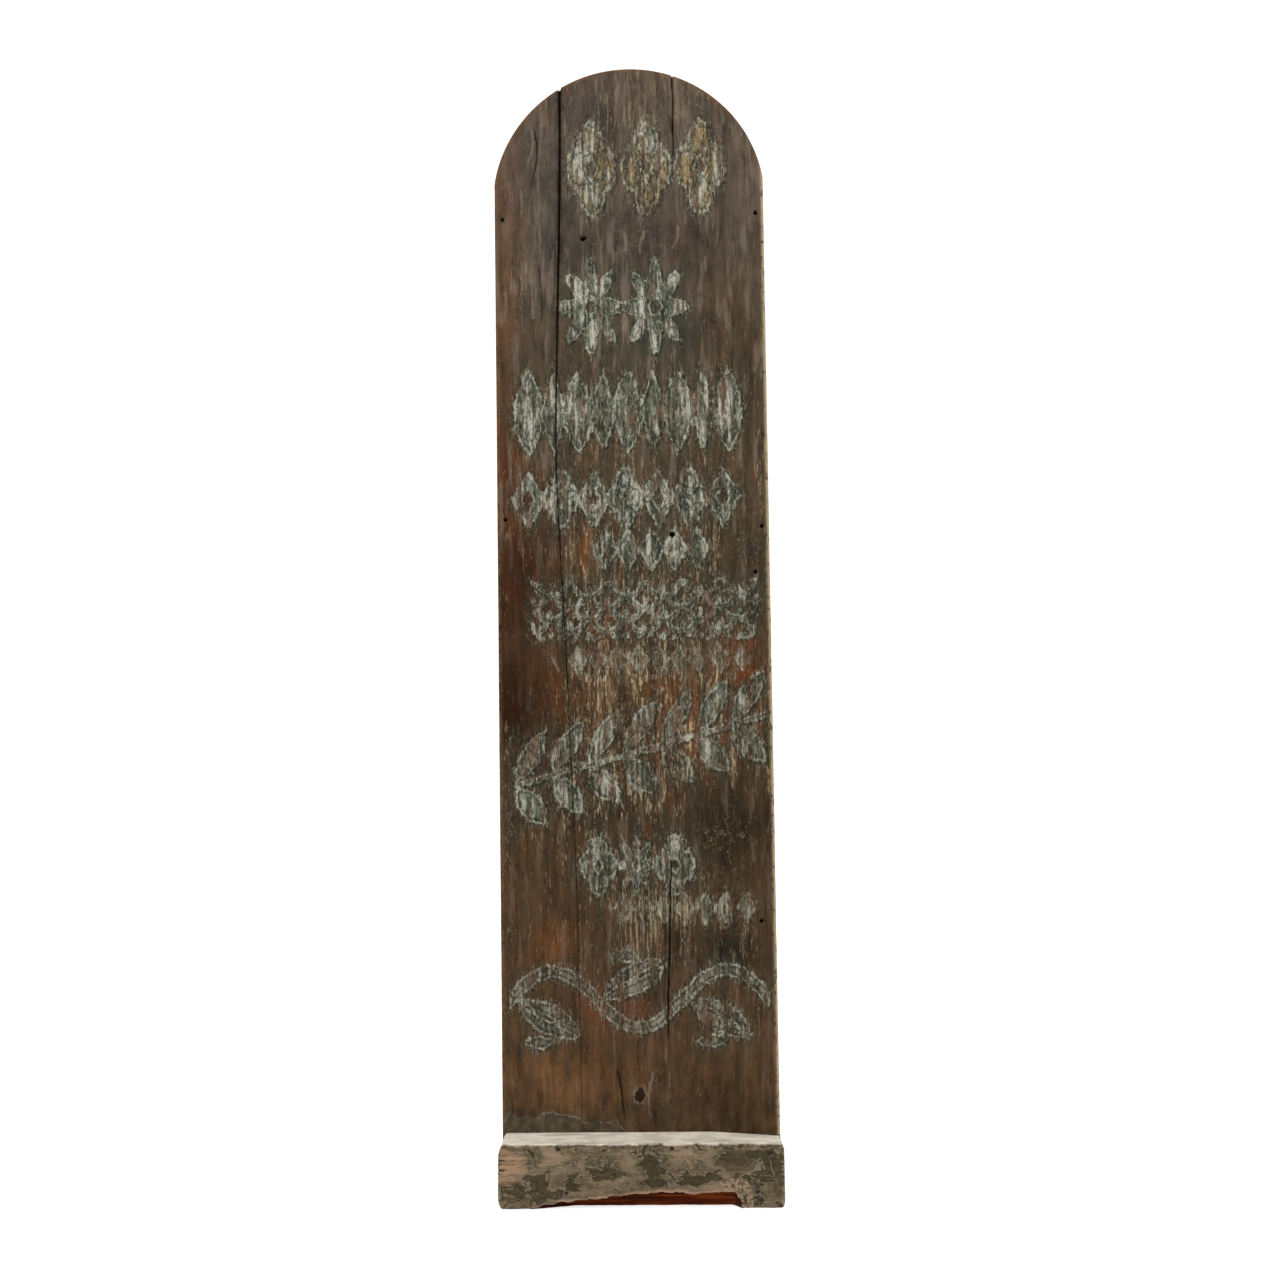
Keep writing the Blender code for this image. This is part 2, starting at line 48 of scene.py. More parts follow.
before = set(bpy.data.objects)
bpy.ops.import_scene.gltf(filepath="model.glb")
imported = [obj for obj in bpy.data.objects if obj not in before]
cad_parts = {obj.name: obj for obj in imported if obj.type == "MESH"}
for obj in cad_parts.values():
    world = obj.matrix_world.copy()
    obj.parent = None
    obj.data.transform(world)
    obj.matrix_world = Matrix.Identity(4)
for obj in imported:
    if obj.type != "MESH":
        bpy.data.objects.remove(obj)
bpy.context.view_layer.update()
BOARD_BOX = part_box("wide_plank")
RAIL_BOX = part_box("front_rail")
BODY = "root"

# A millimetre in metres, and the distance in millimetres that stands for far from any mark
MM = 0.001
FAR = 40.0
# Numbers along each side of a drift's table, and the fine steps by which curves are turned round
DRIFT_TABLE = 64
OUTLINE_STEPS = 4001
GRADING_STEPS = 8001

# Studio: floor and backdrop, and the camera's place and turns, in metres and radians
FLOOR_LEVEL = -0.0005
FLOOR_FRONT = -6
BACKDROP_AT = 4
BACKDROP_HEIGHT = 7
STUDIO_HALF_WIDTH = 8
STUDIO_GLOW = 0.62
CAMERA_PLACE = (0.04045, -1.68423, 0.66266)
CAMERA_YAW = 0.0198291
CAMERA_PITCH = 0.0437674
CAMERA_ROLL = 0.0136761
SENSOR_WIDTH = 36.0
# Lamps: name, place, the point they look at, width, and the setting that holds their power
LAMPS = (
    ("key_lamp", (-0.9, -2.6, 2.9), (0.0, 0.0, 0.75), 2.2, "key_power"),
    ("top_lamp", (0.3, -0.5, 3.4), (0.0, 0.0, 0.6), 1.6, "top_power"),
    ("back_lamp", (0.8, 2.7, 2.3), (0.0, 0.0, 0.75), 2.0, "back_power"),
)

# Lines of the surfaces' grids. The back sheets have every second line. Level rows of the planks take
# the arch's shape from BEND_START upwards.
WIDE_PLANK_COLUMNS = 113
NARROW_PLANK_COLUMNS = 73
PLANK_ROWS = 521
BEND_START = 0.9
RAIL_COLUMNS = 241
RAIL_ROWS = 69

# Seam between the planks: shares of the height, and the seam's distance from the left edge at each.
# The broken line is softened over so many windows, and columns within SEAM_FOLLOW bend with it.
SEAM_SHARES = (0.0, 0.250, 0.470, 0.645, 0.905, 1.0)
SEAM_INSETS = (0.1075, 0.1035, 0.0920, 0.0795, 0.0905, 0.0910)
SEAM_SOFTENING = 0.075
SEAM_WINDOWS = 8
SEAM_FOLLOW = 0.060
SEAM_GAP_TOP = 0.0044
SEAM_GAP_FOOT = 0.0004

# Blind holes of lost fixings in the front face, each as (x, z, radius, depth)
HOLES = (
    (-0.0633, 1.2886, 0.0034, 0.017),
    (0.0527, 0.8789, 0.0034, 0.017),
    (-0.1740, 1.3165, 0.0022, 0.012),
    (-0.1736, 0.9020, 0.0022, 0.012),
    (0.1735, 1.3190, 0.0022, 0.012),
    (0.1742, 0.8880, 0.0022, 0.012),
    (0.1650, 0.8260, 0.0022, 0.012),
    (0.1647, 0.3580, 0.0022, 0.012),
)

# Drying checks in the front face, each as (x and z of its top, x and z of its foot, half width, depth)
CHECKS = (
    (0.0620, 1.5240, 0.0620, 1.3830, 0.0010, 0.008),
    (0.0448, 0.4400, 0.0373, 0.2020, 0.0009, 0.008),
    (-0.0298, 0.1660, -0.0205, 0.0960, 0.0006, 0.005),
)

# Knots in the board, each as (x, z, radius)
KNOTS = ((-0.0009, 0.1306, 0.0068), (0.0788, 0.1339, 0.0035))

# Tongue and groove of the seam: place and thickness across the board, reach, and their stops at the top
TONGUE_FROM_FRONT = 0.0050
TONGUE_THICKNESS = 0.0080
TONGUE_FIT = 0.0003
TONGUE_REACH = 0.0090
GROOVE_REACH = 0.0100
TONGUE_END = 0.0005
GROOVE_STOP = 0.0075

# Rail corners (across, up): lower left, lower right, upper right, upper left, seen from the rail's own face
RAIL_CORNERS = ((0.0080, 0.0160), (0.0060, 0.0110), (0.0040, 0.0140), (0.0085, 0.0240))
RAIL_ARRIS = 2.6 * MM * 0.9
RAIL_BACK_ARRIS = 0.8 * MM
# Worn slope on top of the front rail: its length from the right end, and its drops there
SLOPE_FROM_RIGHT = 0.0895
SLOPE_DROP_AT_BOARD = 0.0062
SLOPE_DROP_AT_FACE = 0.0010

# Strip split away along the lower front edge of the front rail: (x, height) along its top
SPLIT_LINE = (
    (-0.1440, 0.0), (-0.1250, 0.0040), (-0.1070, 0.0078), (-0.0870, 0.0098), (-0.0590, 0.0126),
    (-0.0300, 0.0158), (0.0, 0.0184), (0.0400, 0.0203), (0.0680, 0.0180), (0.1010, 0.0200),
    (0.1205, 0.0194), (0.1275, 0.0110), (0.1310, 0.0),
)
# Its depth at the foot and at its top, and the rows of the grid that are moved to lie along it
SPLIT_DEPTH = 0.012
SPLIT_DEPTH_AT_TOP = 0.0085
SPLIT_TOP = 0.0205
SPLIT_ROW = 0.0130
SPLIT_BLEND_TOP = 0.050

# Dish crushed into the wood over a nail's head: half width, half height and depth
NAIL_DISH = (2.9, 2.1, 1.2 * MM)

# End cracks of the front rail: (height, length, half width, depth)
END_CRACKS = (
    (0.0490, 0.0100, 0.0014, 0.009),
    (0.0620, 0.0090, 0.0012, 0.008),
    (0.0565, 0.0070, 0.0009, 0.005),
    (0.0710, 0.0060, 0.0008, 0.004),
)


# Sums used by every surface


def eased(share):
    """3t^2 - 2t^3 with t held between 0 and 1."""
    t = np.clip(share, 0.0, 1.0)
    return t * t * (3 - 2 * t)


def bell(distance, reach):
    """exp(-(d / reach)^2)."""
    return np.exp(-((distance / reach) ** 2))


def drift(across, up, cell_across, cell_up, seed):
    """Smooth noise from -1 to 1: seeded numbers at the corners of cells, blended by 3t^2 - 2t^3."""
    table = np.random.default_rng(seed).uniform(-1, 1, (DRIFT_TABLE, DRIFT_TABLE))
    a, b = across / cell_across, up / cell_up
    i, j = np.floor(a).astype(int), np.floor(b).astype(int)
    s, t = eased(a - i), eased(b - j)
    left, right = i % DRIFT_TABLE, (i + 1) % DRIFT_TABLE
    foot, top = j % DRIFT_TABLE, (j + 1) % DRIFT_TABLE
    low = table[left, foot] * (1 - s) + table[right, foot] * s
    high = table[left, top] * (1 - s) + table[right, top] * s
    return low * (1 - t) + high * t


def ripple(along, cell, seed):
    """Smooth noise from -1 to 1 along one direction."""
    return drift(along, along * 0, cell, 1.0, seed)


def graded(low, high, count, places):
    """Positions from low to high that crowd near places.

    The density of lines is 1 plus, for each place, strength * exp(-((x - middle) / reach)^2). Its
    running sum is inverted at even steps.
    """
    fine = np.linspace(low, high, GRADING_STEPS)
    density = np.ones_like(fine)
    for middle, reach, strength in places:
        density += strength * bell(fine - middle, reach)
    steps = (density[1:] + density[:-1]) / 2
    total = np.concatenate(([0.0], np.cumsum(steps)))
    return np.interp(np.linspace(0.0, total[-1], count), total, fine)


def rounding(distance, width):
    """How far a rounded arris stands back: r - sqrt(r^2 - (r - d)^2) within its width r, else 0."""
    inside = np.clip(1 - distance / width, 0.0, 1.0)
    return width * (1 - np.sqrt(np.clip(1 - inside**2, 0.0, 1.0)))


# Outline of the board


def board_sizes():
    """Half width, height, half thickness, arch radius and height of the arch's centre."""
    sizes = bpy.context.scene.sign_board
    half_width = sizes.width / 2
    radius = (sizes.arch_rise**2 + half_width**2) / (2 * sizes.arch_rise)
    return half_width, sizes.height, sizes.thickness / 2, radius, sizes.height - radius


def arch_height(x):
    """Height of the arch over x: centre + sqrt(radius^2 - x^2)."""
    _, _, _, radius, centre = board_sizes()
    return centre + np.sqrt(np.maximum(radius**2 - x**2, 0.0))


def seam_edge(z, side):
    """A plank's edge at the seam at height z. The seam is a broken line through its insets, averaged
    over a softening length. Half of the gap lies on each side, and it opens with the cube of z."""
    half_width, height, _, _, _ = board_sizes()
    middle = np.zeros_like(z)
    count = 2 * SEAM_WINDOWS + 1
    for i in range(count):
        window = z + SEAM_SOFTENING * (i / SEAM_WINDOWS - 1)
        middle = middle + np.interp(window / height, SEAM_SHARES, SEAM_INSETS) / count
    gap = SEAM_GAP_FOOT + (SEAM_GAP_TOP - SEAM_GAP_FOOT) * (z / height) ** 3
    return middle - half_width + side * gap / 2


def edge_distances(x, z, side):
    """Distances to the seam edge, the long edge, the arch and the foot of a plank, each 0 or more."""
    half_width, _, _, radius, centre = board_sizes()
    seam = (x - seam_edge(z, side)) * side
    long_edge = half_width - x * side
    arch = radius - np.hypot(x, np.maximum(z - centre, 0.0))
    return [np.maximum(d, 0.0) for d in (seam, long_edge, arch, z)]


# Closed surfaces


def quads_of(rows, columns):
    """Corner numbers of the quads of a grid with so many rows and columns of points."""
    corner = (np.arange(rows - 1)[:, None] * columns + np.arange(columns - 1)).ravel()
    return np.stack((corner, corner + 1, corner + columns + 1, corner + columns), axis=1)


def border_of(rows, columns):
    """Point numbers round a grid: along its first row, up the last column, back, and down."""
    grid = np.arange(rows * columns).reshape(rows, columns)
    return np.concatenate((grid[0, :-1], grid[:-1, -1], grid[-1, :0:-1], grid[:0:-1, 0]))


def sheet_map(rows, columns, patch):
    """Map places of a grid inside a patch (left, low, right, high), even from line to line."""
    u, v = np.meshgrid(np.linspace(patch[0], patch[2], columns), np.linspace(patch[1], patch[3], rows))
    return np.stack((u, v), axis=2)


def rim_map(rings, sides):
    """Map places of the rim's corners: for every side a patch whose long way follows the outline.

    Each side is (segments, patch, upright). The result holds both ends of every segment.
    """
    starts, ends = [], []
    across = np.linspace(0.0, 1.0, rings)[:, None]
    for count, patch, upright in sides:
        along = np.linspace(0.0, 1.0, count + 1)[None, :]
        width, height = patch[2] - patch[0], patch[3] - patch[1]
        if upright:
            u = patch[0] + width * across + 0 * along
            v = patch[1] + height * along + 0 * across
        else:
            u = patch[0] + width * along + 0 * across
            v = patch[1] + height * across + 0 * along
        both = np.stack((u, v), axis=2)
        starts.append(both[:, :-1])
        ends.append(both[:, 1:])
    return np.concatenate(starts, axis=1), np.concatenate(ends, axis=1)


def closed_surface(name, front, rings, back, layout, values, material):
    """One closed mesh of a front sheet, a rim and a back sheet.

    front and back are grids of points, rows upwards and columns to the right, and back has every
    second line of front. rings are loops of points from the front outline to the back outline. Quads
    join the loops, and three triangles for each two segments join the last ring to the back.
    """
    rows, columns = front.shape[:2]
    back_rows, back_columns = back.shape[:2]
    loop = border_of(rows, columns)
    length = len(loop)
    count = len(rings)
    points = np.concatenate((front.reshape(-1, 3), rings.reshape(-1, 3), back.reshape(-1, 3)))
    ring_first = rows * columns
    back_first = ring_first + count * length
    front_quads = quads_of(rows, columns)
    front_map = sheet_map(rows, columns, layout["front"]).reshape(-1, 2)[front_quads]
    loops = np.concatenate((loop[None], ring_first + np.arange(count * length).reshape(count, length)))
    after = np.roll(loops, -1, axis=1)
    rim_quads = np.stack((loops[:-1], loops[1:], after[1:], after[:-1]), axis=2).reshape(-1, 4)
    segments = (columns - 1, rows - 1, columns - 1, rows - 1)
    sides = [(n, *layout[side]) for n, side in zip(segments, ("foot", "right", "top", "left"))]
    start, end = rim_map(count + 2, sides)
    rim_maps = np.stack((start[:-2], start[1:-1], end[1:-1], end[:-2]), axis=2).reshape(-1, 4, 2)
    outer, outer_after = loops[-1], after[-1]
    inner = back_first + border_of(back_rows, back_columns)
    inner_after = np.roll(inner, -1)
    p0, p1, p2 = outer[0::2], outer[1::2], outer_after[1::2]
    joins = np.stack(
        (p0, inner, p1, p1, inner, inner_after, p1, inner_after, p2), axis=1
    ).reshape(-1, 3)
    m0, m1, m2 = start[-2, 0::2], start[-2, 1::2], end[-2, 1::2]
    n0, n1 = start[-1, 0::2], end[-1, 1::2]
    join_maps = np.stack((m0, n0, m1, m1, n0, n1, m1, n1, m2), axis=1).reshape(-1, 3, 2)
    back_quads = quads_of(back_rows, back_columns)[:, ::-1]
    back_map = sheet_map(back_rows, back_columns, layout["back"]).reshape(-1, 2)[back_quads]
    quads = np.concatenate((front_quads, rim_quads, back_first + back_quads))
    mesh = bpy.data.meshes.new(name)
    mesh.from_pydata(points.tolist(), [], quads.tolist() + joins.tolist())
    places = mesh.uv_layers.new(name="OFBake")
    maps = np.concatenate((front_map, rim_maps, back_map)).reshape(-1, 2)
    maps = np.concatenate((maps, join_maps.reshape(-1, 2)))
    places.data.foreach_set("uv", maps.astype(np.float32).ravel())
    mesh.polygons.foreach_set("use_smooth", np.ones(len(mesh.polygons), dtype=bool))
    zone = np.zeros(len(points))
    zone[ring_first:back_first] = 1.0
    zone[back_first:] = 2.0
    for key, value in values(points, zone).items():
        if value.ndim == 2:
            layer = mesh.attributes.new(key, "FLOAT_COLOR", "POINT")
            tinted = np.concatenate((value, np.ones((len(value), 1))), axis=1)
            layer.data.foreach_set("color", tinted.astype(np.float32).ravel())
        else:
            layer = mesh.attributes.new(key, "FLOAT", "POINT")
            layer.data.foreach_set("value", value.astype(np.float32))
    mesh.materials.append(material)
    mesh.validate()
    mesh.update()
    piece = bpy.data.objects.new(name, mesh)
    bpy.context.scene.collection.objects.link(piece)
    return piece


# Painted figures: all distances in millimetres, negative inside


def lozenge(x, z, wide, tall):
    """(|x| / a + |z| / b - 1) * a b / sqrt(a^2 + b^2)."""
    return (np.abs(x) / wide + np.abs(z) / tall - 1) * wide * tall / math.hypot(wide, tall)


def eye(x, z, wide, tall):
    """A lozenge with a smaller one cut from its middle."""
    return np.maximum(lozenge(x, z, wide, tall), -lozenge(x, z, 0.34 * wide, 0.34 * tall))


def leaf(x, z, wide, tall):
    """Two arcs that meet in points above and below: radius R = (a^2 + b^2) / 2a, centres at R - a."""
    radius = (wide**2 + tall**2) / (2 * wide)
    return np.hypot(np.abs(x) + radius - wide, z) - radius


def four_lobes(x, z, wide, tall):
    """Least distance to four discs, left, right, above and below, with a lozenge cut from the middle."""
    across, up = 0.52 * wide, 0.52 * tall
    sides = np.hypot((np.abs(x) - across) / wide, z / tall)
    ends = np.hypot(x / wide, (np.abs(z) - up) / tall)
    lobes = (np.minimum(sides, ends) - 0.48) * min(wide, tall)
    return np.maximum(lobes, -lozenge(x, z, 0.22 * wide, 0.22 * tall))


def rosette(x, z, wide, tall):
    """Eight petals: r - (0.76 + 0.24 cos 8a) in a frame scaled to the figure, with a lozenge eye."""
    reach = np.hypot(x / wide, z / tall)
    angle = np.arctan2(z / tall, x / wide)
    petals = (reach - 0.76 - 0.24 * np.cos(8 * angle)) * min(wide, tall) * 0.85
    return np.maximum(petals, -lozenge(x, z, 0.20 * wide, 0.20 * tall))


FIGURES = {"lozenge": lozenge, "eye": eye, "leaf": leaf, "lobes": four_lobes, "rosette": rosette}


def scales(u, v, cell, tall):
    """Rows of round scales, the upper over the lower: a band inside the rim of each, and a leaf."""
    found = np.full_like(u, 60.0)
    free = np.ones_like(u, dtype=bool)
    radius = cell / 2
    for i in range(int(4 * tall / cell) + 3):
        middle = tall - 0.62 * radius * i
        across = np.mod(u + radius * (i % 2), cell) - radius
        inside = radius - np.hypot(across, v - middle)
        taken = free & (inside > 0)
        vein = leaf(across, v - middle + 0.52 * radius, 0.16 * radius, 0.24 * radius)
        found = np.where(taken, np.minimum(inside - 0.30 * radius, vein), found)
        free &= ~taken
    return found


def vine(u, v, cell, tall):
    """A stem that waves once in two cells, with a ribbed leaf and a bud in every hollow of the wave."""
    turn = math.pi / cell
    stem = np.abs(v - 0.45 * tall * np.sin(turn * u)) / np.hypot(1.0, 0.45 * tall * turn * np.cos(turn * u))
    number = np.floor(u / cell)
    side = np.where(np.mod(number, 2) == 0, -1.0, 1.0)
    across = u - (number + 0.5) * cell
    a = 0.86 * across + 0.5 * v * side - 0.10 * tall
    b = 0.86 * v * side - 0.5 * across - 0.30 * tall
    blade = np.maximum(leaf(b, a, 0.24 * tall, 0.44 * cell), 1.4 - np.abs(b))
    bud = leaf(v * side - 0.68 * tall, across + 0.17 * cell, 0.11 * tall, 0.17 * cell)
    return np.minimum(stem - 0.10 * tall, np.minimum(blade, bud))


def laurel(u, v, cell, tall):
    """A straight stem with a pair of slanting leaves in every cell, one above it and one below."""
    found = np.abs(v) - 0.07 * tall
    for shift in (-1, 0, 1):
        across = np.mod(u, cell) - cell * (0.5 + shift)
        rise = np.abs(v) - 0.52 * tall
        a = 0.57 * across + 0.82 * rise
        b = 0.82 * across - 0.57 * rise
        found = np.minimum(found, leaf(b, a, 0.30 * cell, 0.56 * tall))
    return found


BANDS = {"scales": scales, "vine": vine, "laurel": laurel}

# Rows of painted ornament: left, right, low, high in millimetres, rise to the right, kinds, how many
# cells, width of a figure as a share of its cell, how solid, ochre share, how much is left, dark ground
ROWS = (
    (-88, 136, 1318, 1452, 0, ("lobes",), 3, 0.94, 0.9, 1.0, 0.62, 0.55),
    (-98, 78, 1124, 1260, 0, ("rosette",), 2, 1.05, 1.0, 0.0, 0.68, 0.95),
    (-158, 148, 990, 1106, 0, ("leaf", "lozenge"), 9, 1.12, 1.0, 0.06, 0.66, 0.90),
    (-163, 144, 888, 970, 0, ("eye", "lobes"), 7, 1.10, 1.0, 0.0, 0.62, 0.90),
    (-55, 102, 828, 889, 0, ("lozenge",), 5, 1.12, 0.95, 0.04, 0.74, 1.0),
    (-138, 167, 738, 817, 0, ("scales",), 6, 1.0, 0.80, 0.0, 0.62, 0.90),
    (-92, 158, 689, 731, 0, ("lozenge",), 9, 1.0, 0.7, 0.16, 0.42, 0.50),
    (-166, 177, 478, 604, 92, ("laurel",), 7, 1.0, 0.85, 0.0, 0.60, 1.0),
    (-78, 76, 393, 475, 0, ("lobes", "rosette"), 3, 1.0, 0.8, 0.05, 0.68, 0.90),
    (-33, 158, 354, 398, 0, ("lozenge",), 7, 1.0, 0.8, 0.20, 0.48, 0.35),
    (-173, 173, 174, 340, 0, ("vine",), 3, 1.0, 0.45, 0.0, 0.61, 0.65),
)


def row_distance(x, z, row):
    """Distance to one row: to a band's pattern, cut off at its ends, or to the nearest figure."""
    left, right, low, high, rise, kinds, count, filled = row[:8]
    z = z - rise * (x - left) / (right - left) - (low + high) / 2
    cell, tall = (right - left) / count, (high - low) / 2
    if kinds[0] in BANDS:
        pattern = BANDS[kinds[0]](x - left, z, cell, tall)
        ends = np.maximum(np.abs(x - (left + right) / 2) - (right - left) / 2, np.abs(z) - tall)
        return np.maximum(pattern, ends + 3.0 * drift(x, z, 11.0, 8.0, 83))
    found = np.full_like(x, 60.0)
    for i in range(count):
        across = x - left - cell * (i + 0.5)
        found = np.minimum(found, FIGURES[kinds[i % len(kinds)]](across, z, filled * cell / 2, tall))
    return found


def painted(x, z):
    """Distance to the nearest figure, and that row's solid share, ochre, remains and dark ground."""
    sway = 1.6 * drift(x, z, 34.0, 41.0, 81)
    x, z = x + sway, z + 1.4 * drift(x, z, 47.0, 29.0, 82)
    nearest = np.full_like(x, 60.0)
    shares = [np.zeros_like(x) for _ in range(4)]
    for row in ROWS:
        distance = row_distance(x, z, row)
        closer = distance < nearest
        for share, level in zip(shares, row[8:12]):
            share[closer] = level
        nearest = np.where(closer, distance, nearest)
    return nearest, *shares


# Slow colours of the board, from the top down: height in millimetres, colour
BOARD_GROUND = (
    (1524, (94, 80, 68)), (1300, (84, 73, 62)), (1050, (83, 69, 53)), (850, (78, 62, 46)),
    (600, (77, 58, 40)), (400, (76, 58, 39)), (200, (82, 61, 41)), (0, (80, 60, 40)),
)
# Patches laid over them: x, z, half width and half height in millimetres, colour, strength. The back
# has no figures, and goes from greyer wood at the top to a dark, damp foot.
BACK_PATCHES = (
    (60, 1260, 110, 200, (96, 86, 74), 0.75),
    (-110, 1020, 60, 260, (66, 52, 38), 0.65),
    (60, 820, 90, 160, (96, 76, 54), 0.6),
    (-60, 560, 70, 190, (106, 78, 50), 0.7),
    (120, 430, 60, 200, (64, 46, 30), 0.65),
    (-130, 240, 50, 140, (98, 64, 36), 0.6),
    (20, 110, 160, 60, (50, 42, 32), 0.8),
)
BOARD_PATCHES = (
    (80, 1158, 16, 34, (50, 52, 45), 0.9),
    (20, 1140, 70, 16, (62, 60, 50), 0.6),
    (40, 870, 60, 40, (72, 64, 50), 0.5),
    (-100, 100, 60, 14, (74, 64, 48), 0.6),
    (60, 110, 110, 16, (62, 52, 38), 0.6),
    (-10, 1285, 90, 26, (70, 60, 54), 0.7),
    (-60, 1460, 40, 30, (66, 60, 58), 0.6),
    (-110, 1285, 40, 26, (70, 64, 58), 0.7),
    (-148, 1310, 26, 34, (104, 84, 62), 0.5),
    (-172, 1180, 22, 260, (102, 70, 46), 0.75),
    (-165, 920, 34, 120, (90, 50, 26), 0.8),
    (-158, 805, 38, 88, (56, 29, 12), 0.95),
    (-150, 655, 48, 74, (40, 18, 3), 1.0),
    (-112, 700, 22, 150, (84, 52, 28), 0.6),
    (-112, 1360, 30, 110, (82, 74, 66), 0.7),
    (10, 1170, 90, 60, (68, 66, 56), 0.6),
    (130, 1170, 50, 90, (78, 62, 46), 0.7),
    (60, 1285, 110, 36, (78, 64, 54), 0.6),
    (-60, 960, 18, 120, (92, 62, 36), 0.5),
    (-62, 858, 14, 30, (130, 76, 34), 0.7),
    (-46, 760, 14, 22, (146, 72, 24), 0.8),
    (0, 640, 110, 60, (98, 62, 32), 0.6),
    (90, 620, 60, 60, (104, 56, 24), 0.5),
    (150, 855, 40, 40, (60, 50, 37), 0.85),
    (125, 490, 64, 62, (44, 34, 22), 1.0),
    (-60, 500, 110, 22, (62, 50, 36), 0.6),
    (60, 712, 120, 22, (64, 54, 40), 0.6),
    (110, 92, 80, 16, (84, 70, 50), 0.8),
    (147, 688, 26, 17, (124, 60, 20), 0.85),
    (80, 636, 11, 28, (126, 64, 26), 0.7),
    (44, 636, 9, 30, (112, 66, 30), 0.5),
    (0, 494, 64, 26, (58, 47, 36), 0.7),
    (-132, 640, 26, 60, (44, 24, 10), 0.6),
    (-130, 420, 50, 60, (78, 58, 38), 0.6),
    (118, 320, 66, 28, (40, 34, 24), 1.0),
    (-112, 326, 28, 26, (110, 66, 32), 0.7),
    (-62, 246, 24, 40, (112, 62, 38), 0.7),
    (-8, 240, 18, 36, (104, 54, 36), 0.7),
    (140, 726, 40, 20, (104, 58, 26), 0.7),
    (-110, 155, 70, 40, (108, 76, 48), 0.85),
    (130, 130, 90, 60, (79, 58, 36), 0.8),
    (-20, 150, 50, 40, (96, 66, 38), 0.5),
)


def srgb(colour):
    """Linear colour of 0 to 255 values: (c + 0.055) / 1.055 to the power 2.4, or c / 12.92 when dark."""
    c = np.asarray(colour, dtype=float) / 255
    return np.where(c > 0.04045, ((c + 0.055) / 1.055) ** 2.4, c / 12.92)


def patched(x, z, ground, patches):
    """Ground colours by height, then each patch laid over by its strength * exp(-distance^2)."""
    heights = [stop[0] for stop in ground][::-1]
    colours = np.array([srgb(stop[1]) for stop in ground])[::-1]
    made = np.stack([np.interp(z, heights, colours[:, i]) for i in range(3)], axis=1)
    for across, up, wide, tall, colour, strength in patches:
        wobble = drift(x, z, 0.6 * wide, 0.6 * tall, int(up))
        reach = np.hypot((x - across) / wide, (z - up) / tall) + 0.35 * wobble
        share = strength * np.exp(-(np.maximum(reach, 0.0) ** 2))[:, None]
        made = made * (1 - share) + srgb(colour) * share
    return made


# Relief of the board


def hole_relief(x, z):
    """Depth of the blind holes, and how deep in one each point is from 0 to 1."""
    depth, inside = np.zeros_like(x), np.zeros_like(x)
    for hole_x, hole_z, radius, deep in HOLES:
        away = np.hypot(x - hole_x, z - hole_z)
        share = eased((radius + 0.35 * MM - away) / (0.7 * MM))
        dish = 0.5 * MM * bell(away, 1.7 * radius)
        depth = np.maximum(depth, share * deep + dish)
        inside = np.maximum(inside, share)
    return depth, inside


def check_relief(x, z):
    """Depth of the drying checks. A check is a slit whose half width is h * sqrt(4 t (1 - t))."""
    depth, inside = np.zeros_like(x), np.zeros_like(x)
    for top_x, top_z, foot_x, foot_z, half, deep in CHECKS:
        share = (z - foot_z) / (top_z - foot_z)
        open_end = top_z > 1.5
        rise = share * 0.5 if open_end else share
        width = half * np.sqrt(np.clip(4 * rise * (1 - rise), 0.0, 1.0))
        middle = foot_x + (top_x - foot_x) * share + 0.0006 * ripple(z, 0.02, 5)
        slit = eased((width - np.abs(x - middle)) / (0.5 * MM) + 0.5) * (width > 0)
        slit = np.where((share >= 0) & (share <= 1), slit, 0.0)
        shallow = np.clip(0.25 + (top_z - z) / 0.030, 0.0, 1.0) if open_end else 1.0
        depth = np.maximum(depth, slit * deep * shallow)
        inside = np.maximum(inside, slit)
    return depth, inside


def knot_relief(x, z):
    """A knot stands level in a hollow ring: d * exp(-((r - R) / w)^2)."""
    depth = np.zeros_like(x)
    for knot_x, knot_z, radius in KNOTS:
        away = np.hypot(x - knot_x, (z - knot_z) / 1.2)
        depth = depth + 0.6 * MM * bell(away - 1.15 * radius, 0.4 * radius)
    return depth


def weathering(x, z, seed):
    """Hollows between the hard lines of the grain, in metres: three drifts, long up the board."""
    wide = drift(x, z, 0.016, 0.60, seed)
    lines = drift(x, z, 0.0042, 0.22, seed + 1)
    dents = drift(x, z, 0.011, 0.030, seed + 2)
    return MM * (0.30 + 0.22 * wide + 0.16 * lines + 0.10 * np.maximum(dents, 0))


def arris_depth(x, z, side, seed):
    """How far the rounded edges of a plank stand back from its face, with uneven wear."""
    sizes = bpy.context.scene.sign_board
    seam, long_edge, arch, foot = edge_distances(x, z, side)
    uneven = 1 + 0.30 * ripple(z, 0.045, seed) + 0.15 * ripple(z, 0.011, seed + 1)
    worn = sizes.worn_arris if side > 0 else sizes.crisp_arris
    depth = rounding(long_edge, worn * 0.8 * uneven)
    depth = np.maximum(depth, rounding(arch, sizes.crisp_arris * 0.9 * uneven))
    depth = np.maximum(depth, rounding(seam, sizes.seam_arris * uneven))
    return np.maximum(depth, rounding(foot, sizes.foot_arris))


# Planks


def seam_follow(column, seam):
    """How far a column follows the seam: 1 at the seam, easing to 0 at SEAM_FOLLOW from it."""
    return eased(1 - np.abs(column - seam) / SEAM_FOLLOW)


def row_lift(row):
    """How far a level row takes the arch's shape: 0 up to BEND_START, easing to 1 at the top."""
    height = board_sizes()[1]
    return eased((row - BEND_START) / (height - BEND_START))


